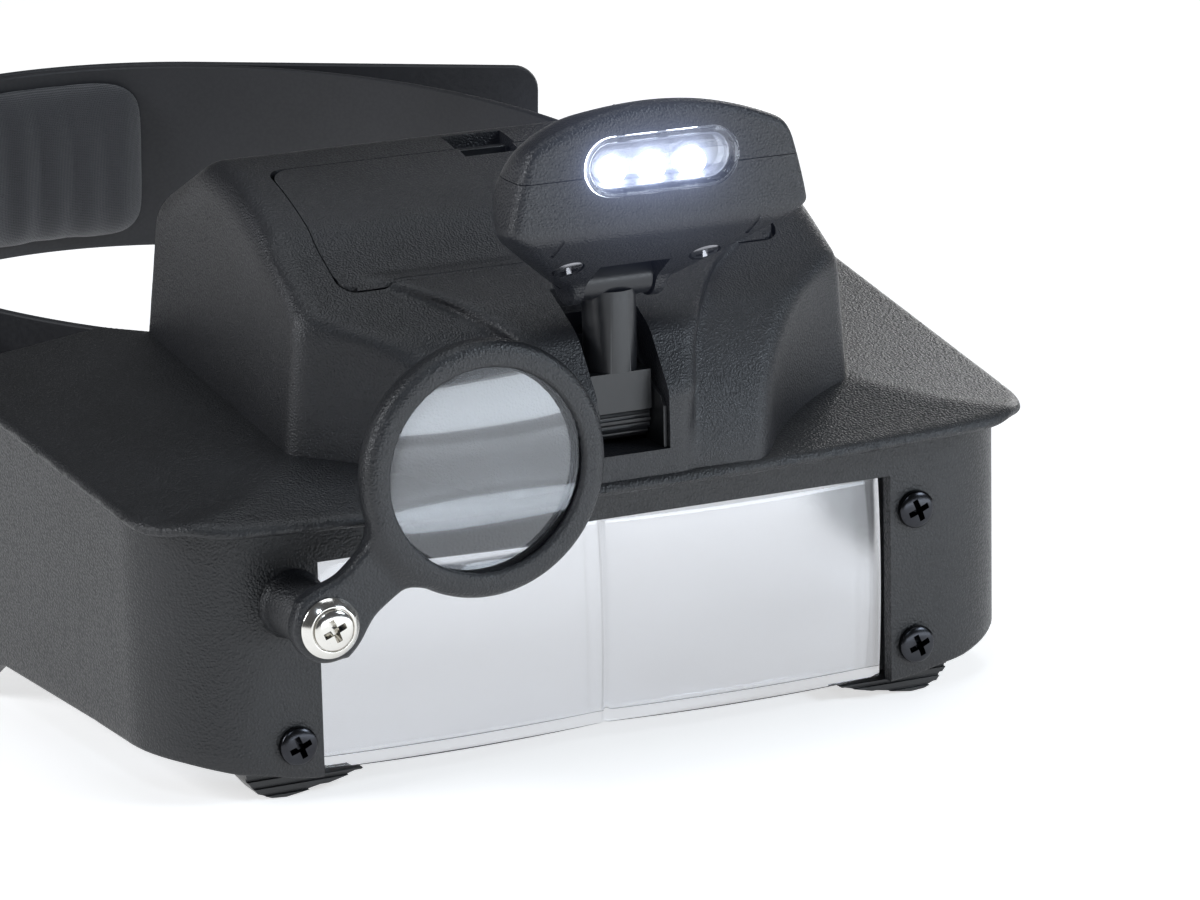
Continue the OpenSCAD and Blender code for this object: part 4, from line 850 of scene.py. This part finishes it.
def make_loupe():
    """Holder cut from its field; ball-faced lens, stepped stand-off and rolled cup washer turned about their axes."""
    obj = new_object("loupe_holder", *skin_of(loupe_field, (-65, -19, 24), (-5, -10.5, 79), LOUPE_CELL))
    finished(obj, "loupe", LOUPE, "loupe_arm", 40)

    c, s = math.cos(LOUPE_TURN), math.sin(LOUPE_TURN)
    centre = np.array([LOUPE_PIVOT[0] + LOUPE_REACH * c, -LOUPE_MIDDLE, LOUPE_PIVOT[1] + LOUPE_REACH * s])
    r = np.linspace(0, GLASS_R, 20)
    edge = 1.45 - (LOUPE_CURVE - np.sqrt(LOUPE_CURVE ** 2 - r * r))
    profile = np.concatenate([np.stack([r, -edge], 1), np.stack([r, edge], 1)[::-1]])
    lens = new_object("loupe_glass", *turned(profile, centre, (0, 1, 0), 96))
    finished(lens, "loupe", LOUPE_GLASS, "loupe_lens", 40)

    stand = [(0, -0.3), (5.7, -0.3), (5.7, 0.3), (5.35, 0.8), (5.1, 1.6), (5.0, LOUPE_OFF - 0.4), (4.7, LOUPE_OFF),
             (0, LOUPE_OFF)]
    post = carved(new_object("stand_off", *turned(stand, loupe_axis(0), (0, -1, 0), 72)),
                  cuts=[rod(LOUPE_BORE, loupe_axis(-40), loupe_axis(10), 32)])
    finished(post, "visor", VISOR, "loupe_post", 40)

    washer = [(2.0, 0), (4.95, 0), (5.0, 0.08), (5.0, 0.45), (4.9, 0.6), (3.95, 1.5), (3.8, 1.6), (3.6, 1.6),
              (3.5, 1.52), (3.42, 1.15), (2.0, 1.1), (2.0, 0)]
    cup = new_object("cup_washer", *turned(washer, loupe_axis(-LOUPE_OFF - ARM_T), (0, -1, 0), 96))
    finished(cup, "visor", NICKEL, "loupe_washer", 40)


# Screws

def screw_solids(head_r, head_t, shank_r, shank_l, place):
    """Pan-head screw that faces the front: a low dome over a short rim, turned, and the four arms of its recess."""
    a = np.linspace(0, 1, 10) * np.pi / 2
    dome = np.stack([head_r * np.sin(a) ** 0.9, head_t * (0.42 + 0.58 * np.cos(a) ** 0.9)], 1)
    rim = [(head_r, 0.06 * head_t), (head_r - 0.08, 0), (shank_r, 0), (shank_r, -shank_l), (0, -shank_l)]
    cuts = []
    for t in np.radians([22, 112]):
        long = head_r * 0.66 * np.array([math.cos(t), 0, math.sin(t)])
        thin = head_r * 0.17 * np.array([-math.sin(t), 0, math.cos(t)])
        corners = [place + k * (i * long + j * thin) + np.array([0, -h * head_t, 0])
                   for k, h in ((1.0, 1.2), (0.5, -0.3)) for i in (-1, 1) for j in (-1, 1)]
        cuts.append((np.array(corners), BOX_FACES))
    return turned(np.concatenate([dome, rim]), place, (0, -1, 0), 72), cuts


def make_screws():
    """Window and loupe screws, and the two small ones, made upright and leant square to the slope under the lamp."""
    screws = []
    for x, z in SCREWS:
        solid, cuts = screw_solids(3.25, 1.7, 1.4, 6.0, (x, -0.02, z))
        screws.append(carved(new_object("window_screw", *solid), cuts=cuts))
    finished(joined(screws), "visor", BLACK_SCREW, "frame_screws", 28)
    solid, cuts = screw_solids(3.32, 1.3, 1.9, 20.0, loupe_axis(-LOUPE_OFF - ARM_T - 1.1))
    finished(carved(new_object("pivot_screw", *solid), cuts=cuts), "visor", NICKEL, "loupe_screw", 28)
    lean = turn_x(math.pi / 2 - UNDER_TILT).T
    (points, faces), cuts = screw_solids(2.5, 0.95, 1.1, 8.0, (0, 0, 0))
    pair = []
    for m in (-1, 1):
        seat = UNDER_SEAT * [m, 1, 1] + 0.7 * UNDER_INTO
        pair.append(carved(new_object("under_screws", points @ lean + seat, faces),
                           cuts=[(p @ lean + seat, f) for p, f in cuts]))
    finished(joined(pair), "lamp", DARK_STEEL, "lamp_screws", 28)


# Lenses

def lens_solid(half, y, thick, z1, z2, radius, edge, seam):
    """Two-eye lens: each half's front is a wide ball's cap that dips towards the seam and the rim, the back is flat,
    and the front's border is eased. A narrow groove follows the seam."""
    x = np.sort(np.concatenate([np.linspace(-half, half, 121), [-0.6, -0.3, 0.3, 0.6]]))
    z = np.linspace(z1, z2, 41)
    gx, gz = np.meshgrid(x, z, indexing="ij")
    cx, cz = np.sign(gx) * half / 2, (z1 + z2) / 2
    fall = radius - np.sqrt(radius ** 2 - (gx - cx) ** 2 - (gz - cz) ** 2)
    fall = np.where(gx == 0, radius - np.sqrt(radius ** 2 - (half / 2) ** 2 - (gz - cz) ** 2), fall)
    fall += seam * np.clip(1.6 - np.abs(gx) / 0.4, 0, 1)
    border = np.minimum(np.minimum(half - np.abs(gx), gz - z1), z2 - gz)
    fall = fall + edge * (1 - np.clip(border / 0.6, 0, 1)) ** 2
    front = np.stack([gx, y + fall, gz], -1)
    back = np.stack([gx, np.full_like(gx, y + thick), gz], -1)
    n, m = gx.shape
    quads = grid_quads(n, m)
    ring = np.concatenate([np.arange(m), np.arange(1, n) * m + m - 1, (n - 1) * m + np.arange(m - 2, -1, -1),
                           np.arange(n - 2, 0, -1) * m])
    side = np.stack([ring, np.roll(ring, -1), np.roll(ring, -1) + n * m, ring + n * m], 1)
    return (np.concatenate([front.reshape(-1, 3), back.reshape(-1, 3)]),
            np.concatenate([quads, quads[:, ::-1] + n * m, side]))


def make_lenses():
    """Main lens in the window and the flip-in lens behind it."""
    main = new_object("two_eye_lens", *lens_solid(51.85, 1.2, 3.8, WALL_LOW, WINDOW_TOP - 0.15, 180.0, 0.25, 0.5))
    finished(main, "visor", LENS, "main_lens", 40)
    flip = new_object("flip_glass", *lens_solid(55.25, 7.32, 2.2, 4.2, 38.25, 480.0, 0.2, 0.05))
    finished(flip, "flip_in_lens", FLIP_LENS, "flip_lens", 40)


# Head ring

def ring_frame(turn):
    """Points of the ring's inner ellipse at angles in degrees, with its outward normals."""
    a = np.radians(turn)
    p = np.stack([RING_HALF_W * np.cos(a), RING_Y + RING_HALF_L * np.sin(a)], -1)
    n = np.stack([np.cos(a) / RING_HALF_W, np.sin(a) / RING_HALF_L], -1)
    return p, n / np.linalg.norm(n, axis=-1, keepdims=True)


def tipped(points):
    """The ring is worked out level, with heights from the pivots, and then tipped about them."""
    t = math.radians(RING_TILT)
    y, z = points[..., 1] - PIVOT_Y, points[..., 2]
    out = points.copy()
    out[..., 1] = PIVOT_Y + y * math.cos(t) - z * math.sin(t)
    out[..., 2] = PIVOT_Z + y * math.sin(t) + z * math.cos(t)
    return out


def strip(plan, normal, offset, low, high):
    """Strap: a thin rectangle with eased edges, standing between low and high, carried along a plan line."""
    edge, rows = 0.35, 12
    up = np.linspace(0, 1, rows)
    inner = np.stack([np.zeros(rows), up, np.zeros(rows)], 1)
    outer = np.stack([np.ones(rows), up[::-1], np.zeros(rows)], 1)
    inner[0, 2], inner[-1, 2], outer[0, 2], outer[-1, 2] = edge, -edge, -edge, edge
    top = np.array([[0.12, 1, -0.1], [0.3, 1, 0], [0.7, 1, 0], [0.88, 1, -0.1]])
    profile = np.concatenate([inner, top, outer, top[::-1] * [1, 0, -1]])
    offset = np.broadcast_to(offset, len(plan))
    place = plan[:, None] + normal[:, None] * (offset[:, None] + BAND_T * profile[None, :, 0])[..., None]
    z = low[:, None] + (high - low)[:, None] * profile[None, :, 1] + profile[None, :, 2]
    return closed_sweep(tipped(np.concatenate([place, z[..., None]], -1)))


def waist_low(y):
    """Lower edge of the ring's parts: raised over the ears, in level frame, by place along Y."""
    return RING_LOW + np.interp(y, [88, 94, 100, 108, 222, 230, 236, 242], [0, 3, 8, 11, 11, 8, 3, 0])


def along(plan):
    """Length along a plan line to each of its points."""
    return np.concatenate([[0], np.cumsum(np.linalg.norm(np.diff(plan, axis=0), axis=1))])


def corner_pull(d, r):
    """How far a strap's edge is drawn in at a distance from its end, so that the corner is an arc."""
    return np.where(d < r, r - np.sqrt(np.maximum(r * r - (r - d) ** 2, 0)), 0)


def strap(name, turn, offset, r):
    """Strap on the ring's ellipse between two angles, with corners of radius r at both ends."""
    plan, normal = ring_frame(turn)
    s = along(plan)
    pull = corner_pull(np.minimum(s, s[-1] - s), r)
    return new_object(name, *strip(plan, normal, offset, waist_low(plan[:, 1]) + pull, RING_TOP - pull))


def make_ring():
    """Brow band with its pivot bosses, the inner strap, and the outer strap whose free end leaves the ring."""
    band = strap("brow_band", np.linspace(-192, 12, 240), 0.0, 2.0)
    carved(band, adds=pivot_rods(9, 70.7, 79.0), cuts=pivot_rods(PIVOT_BORE, 60, 90, 32))
    finished(band, "head_ring", BAND, "head_band")
    inner = strap("inner_strap", np.linspace(-8, 140, 170), BAND_T, 3.0)
    finished(inner, "head_ring", BAND, "right_strap")

    turn = np.linspace(188, TAIL_TURN, 150)
    plan, normal = ring_frame(turn)
    offset = BAND_T + ease((166 - turn) / 22) * (BAND_T + HOOK_T)
    a = math.radians(TAIL_TURN)
    tail = np.array([RING_HALF_W * math.sin(a), -RING_HALF_L * math.cos(a)])
    tail /= np.linalg.norm(tail)
    r = 5
    s = np.concatenate([np.linspace(0, TAIL_L - r, 30)[1:], TAIL_L - r + r * np.sin(np.linspace(0, np.pi / 2, 10)[1:])])
    plan = np.concatenate([plan, plan[-1] + tail * s[:, None]])
    normal = np.concatenate([normal, np.repeat(normal[-1:], len(s), 0)])
    offset = np.concatenate([offset, np.full(len(s), offset[-1])])
    low = waist_low(plan[:, 1])
    low[-len(s):] = RING_LOW
    length = along(plan)
    pull = corner_pull(length[-1] - length, r)
    outer = new_object("outer_strap", *strip(plan, normal, offset, low + pull, RING_TOP - pull))
    finished(outer, "head_ring", BAND, "left_strap")


def pad_solid(turn1, turn2, base):
    """Pad on the ring's inner face: a closed form whose cross-section is a crowned superellipse, which thins and
    narrows towards both ends, with sewn channels across it."""
    rows = 97
    p, n = ring_frame(np.linspace(turn1, turn2, rows))
    around = np.linspace(0, 2 * np.pi, 40, endpoint=False)
    s = np.linspace(-1, 1, rows)
    end = (1 - np.abs(s) ** 6) ** 0.5
    c, q = np.cos(around), np.sin(around)
    wide = np.sign(c) * np.abs(c) ** 0.55
    deep = np.sign(q) * np.abs(q) ** 0.8
    half_h = (STRAP_TALL / 2 - 2.2 - PAD_SHRINK) * (0.55 + 0.45 * end)
    crown = (PAD_T - 0.4 - PAD_SHRINK) * end * (0.93 + 0.07 * np.cos(s * np.pi * 5))
    depth = np.where(deep[None] > 0, deep[None] * crown[:, None], deep[None] * 0.25)
    z = RING_TOP - STRAP_TALL / 2 + wide[None] * half_h[:, None]
    place = p[:, None] + n[:, None] * (base - 0.3 - depth)[..., None]
    return closed_sweep(tipped(np.concatenate([place, z[..., None]], -1)))


def swollen(obj):
    """Fills the pad: cloth under pressure for twenty frames, with each point held within a cap of where it began."""
    scene = bpy.context.scene
    before = np.array([v.co for v in obj.data.vertices])
    cloth = obj.modifiers.new("cloth", "CLOTH")
    cloth.settings.use_pressure = True
    cloth.settings.uniform_pressure_force = 4.0
    cloth.settings.effector_weights.gravity = 0
    for number in range(1, 21):
        scene.frame_set(number)
    move = np.array([v.co for v in evaluated_mesh(obj).vertices]) - before
    obj.modifiers.clear()
    scene.frame_set(1)
    length = np.linalg.norm(move, axis=1, keepdims=True)
    move *= np.minimum(1, PAD_CAP * MM / np.maximum(length, 1e-9))
    obj.data.vertices.foreach_set("co", (before + move).ravel())


def make_pads():
    """Brow and nape pads, filled and smoothed once."""
    for name, node, turn1, turn2, base in (("brow_cushion", "brow_pad", -136, -44, 0.0),
                                           ("nape_cushion", "nape_pad", 76, 104, BAND_T)):
        obj = new_object(name, *pad_solid(turn1, turn2, base))
        swollen(obj)
        smooth = obj.modifiers.new("soft", "SUBSURF")
        smooth.levels = smooth.render_levels = 1
        finished(obj, "head_ring", PAD, node, 80)


def flutes(angle, height):
    """Twelve shallow flutes: the radius dips where a cosine of twelve times the angle peaks."""
    deep = np.interp(height, [0, 0.8, 5.2, 6.3], [0.6, 1, 1, 0])
    return -0.85 * deep * np.maximum(np.cos(12 * angle), 0) ** 2


def make_knobs():
    """Fluted knobs turned about the pivots' axis, one on each arm."""
    profile = [(0, 0), (9.3, 0), (9.9, 0.3), (10.4, 1.0), (10.5, 1.6), (10.5, 4.4), (10.3, 5.0), (9.2, 6.0),
               (8.6, 6.3), (7.4, 6.58), (3.2, 6.6), (3.0, 6.4), (0, 6.4)]
    for m, side in ((-1, "left"), (1, "right")):
        place = m * (ARM_HALF + KNOB_GAP), PIVOT_Y, PIVOT_Z
        obj = new_object(side + "_grip", *turned(profile, place, (m, 0, 0), 180, flutes))
        finished(obj, "knob_" + side, SMOOTH, side + "_knob", 40)


# Assembly

make_visor()
make_housing()
make_lamp_head()
make_lamp_inside()
make_loupe()
make_screws()
make_lenses()
make_ring()
make_pads()
make_knobs()

EASED = [
    ("lens_frame", "visor", INNER, "inner_plastic", 0.25), ("flip_frame", "flip_in_lens", SMOOTH, "visor_plastic", 0.2),
    ("flip_hinge_pins", "visor", STEEL, "steel", 0.15), ("lamp_bracket", "visor", SMOOTH, "inner_plastic", 0.1),
    ("cover_latch", "cover", SMOOTH, "inner_plastic", 0.15),
    ("lamp_arm", "arm", SMOOTH, "lamp_plastic", 0.2), ("lamp_switch", "switch", SMOOTH, "lamp_plastic", 0.12),
    ("loupe_retainer", "loupe", SMOOTH, "loupe_plastic", 0.1),
    ("strap_rivets", "head_ring", SMOOTH, "black_screw", 0.2), ("pivot_bolts", "head_ring", STEEL, "steel", 0.3),
    ("pivot_washers", "head_ring", STEEL, "steel", 0.1), ("hook_patch", "head_ring", HOOK, "hook_fabric", 0.2),
]
for node, body, material, slot, width in EASED:
    eased(node, body, material, width)

KEPT = {
    "battery_tray": INNER, "battery_cells": CELL, "contact_springs": STEEL, "contact_plates": STEEL,
    "battery_leads": LEAD, "housing_screws": BLACK_SCREW, "lamp_base_pin": STEEL, "lamp_head_pin": STEEL,
    "lamp_board": BOARD,
}
for node, material in KEPT.items():
    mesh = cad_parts[node].data
    mesh.materials.clear()
    mesh.materials.append(material)


# Stage, light and camera

def make_stage():
    """Pale floor under the part."""
    size = 6.0
    mesh = bpy.data.meshes.new("floor")
    mesh.from_pydata([(-size, -size, 0), (size, -size, 0), (size, size, 0), (-size, size, 0)], [], [(0, 1, 2, 3)])
    floor = linked("floor", mesh)
    material, tree, shader, _ = start_material("pale floor", Emission_Color=(1, 1, 1, 1), Emission_Strength=0.62,
                                               Roughness=0.7, Specular_IOR_Level=0.2)
    noise = add_node(tree, "ShaderNodeTexNoise", {"Scale": 3.0})
    feed(tree, (tree.nodes.new("ShaderNodeTexCoord").outputs["Object"], noise.inputs["Vector"]),
         (ramp(tree, noise.outputs["Fac"], (0.78, 0.78, 0.78), (0.8, 0.8, 0.8)), shader.inputs["Base Color"]))
    mesh.materials.append(material)


MIDDLE = (0, -0.06, 0.05)
LIGHTS = [
    # Name, place, aim, size, power and colour
    ("top box", (0.1, -0.05, 1.0), MIDDLE, (0.7, 0.5), 2.8, (0.9, 0.95, 1.0)),
    ("front right box", (0.58, -0.66, 0.52), MIDDLE, (0.34, 0.26), 3.4, (0.8, 0.9, 1.0)),
    ("front left box", (-0.4, -0.75, 0.8), MIDDLE, (0.14, 0.14), 0.9, (0.78, 0.88, 1.0)),
    ("low card", (0.17, -0.42, 0.038), (0.0, -0.04, 0.06), (0.6, 0.05), 0.45, (0.86, 0.93, 1.0)),
    ("back right box", (0.9, 0.7, 0.35), MIDDLE, (0.5, 0.5), 3.0, (1, 1, 1)),
    ("left box", (-0.9, 0.0, 0.5), MIDDLE, (0.4, 0.4), 5.2, (0.93, 0.96, 1.0)),
]


def make_light():
    """Soft boxes round the part in a dim white studio, whose pale wall only the camera sees, beyond the floor."""
    world = bpy.data.worlds.new("studio")
    bpy.context.scene.world = world
    world.use_nodes = True
    tree = world.node_tree
    around = set_inputs(tree.nodes["Background"], {0: (1, 1, 1, 1), 1: 0.08})
    wall = add_node(tree, "ShaderNodeBackground", {0: (0.72, 0.72, 0.725, 1), 1: 1.0})
    camera_ray = tree.nodes.new("ShaderNodeLightPath").outputs["Is Camera Ray"]
    feed(tree, (mix_shaders(tree, camera_ray, around, wall).outputs[0], tree.nodes["World Output"].inputs["Surface"]))
    for name, place, aim, size, power, colour in LIGHTS:
        data = bpy.data.lights.new(name, "AREA")
        data.shape = "RECTANGLE"
        data.size, data.size_y = size
        data.energy = power
        data.color = colour
        obj = linked(name, data)
        obj.location = place
        obj.rotation_euler = (Vector(aim) - Vector(place)).to_track_quat("-Z", "Y").to_euler()
        obj.visible_camera = False


def make_glow():
    """Bloom round the lit diodes, far above the floor's brightness, as a lens gives."""
    scene = bpy.context.scene
    scene.use_nodes = True
    tree = scene.node_tree
    tree.nodes.clear()
    source = tree.nodes.new("CompositorNodeRLayers")
    glow = add_node(tree, "CompositorNodeGlare", {"Threshold": 1.9, "Strength": 0.4, "Size": 0.27,
                                                  "Tint": (0.6, 0.68, 1.0, 1)}, glare_type="BLOOM", quality="HIGH")
    result = tree.nodes.new("CompositorNodeComposite")
    feed(tree, (source.outputs["Image"], glow.inputs["Image"]), (glow.outputs["Image"], result.inputs["Image"]))


def make_camera():
    """Long lens at the photograph's viewing angle: azimuth from the left front, a little above, with a slight roll."""
    azimuth, elevation, roll = (math.radians(t) for t in (25.503, 14.907, -1.230))
    lens_px, frame_px, distance = 5500.0, 1200.0, 894.8
    target = np.array([-1.68, 0, 51.16])
    right = np.array([math.cos(azimuth), -math.sin(azimuth), 0])
    forward = np.array([math.sin(azimuth) * math.cos(elevation), math.cos(azimuth) * math.cos(elevation),
                        -math.sin(elevation)])
    up = np.cross(right, forward)
    side = math.cos(roll) * right + math.sin(roll) * up
    top = -math.sin(roll) * right + math.cos(roll) * up
    data = bpy.data.cameras.new("camera")
    data.sensor_width = 36.0
    data.lens = data.sensor_width * lens_px / frame_px
    data.clip_start, data.clip_end = 0.01, 20
    camera = linked("camera", data)
    place = to_row(target - forward * distance)
    camera.matrix_world = Matrix([[*row, p] for row, p in zip(np.stack([side, top, -forward], 1), place)]
                                 + [[0, 0, 0, 1]])
    bpy.context.scene.camera = camera


make_stage()
make_light()
make_glow()
make_camera()
bpy.context.scene.view_settings.view_transform = "Standard"
bpy.context.scene.view_settings.exposure = 0.0
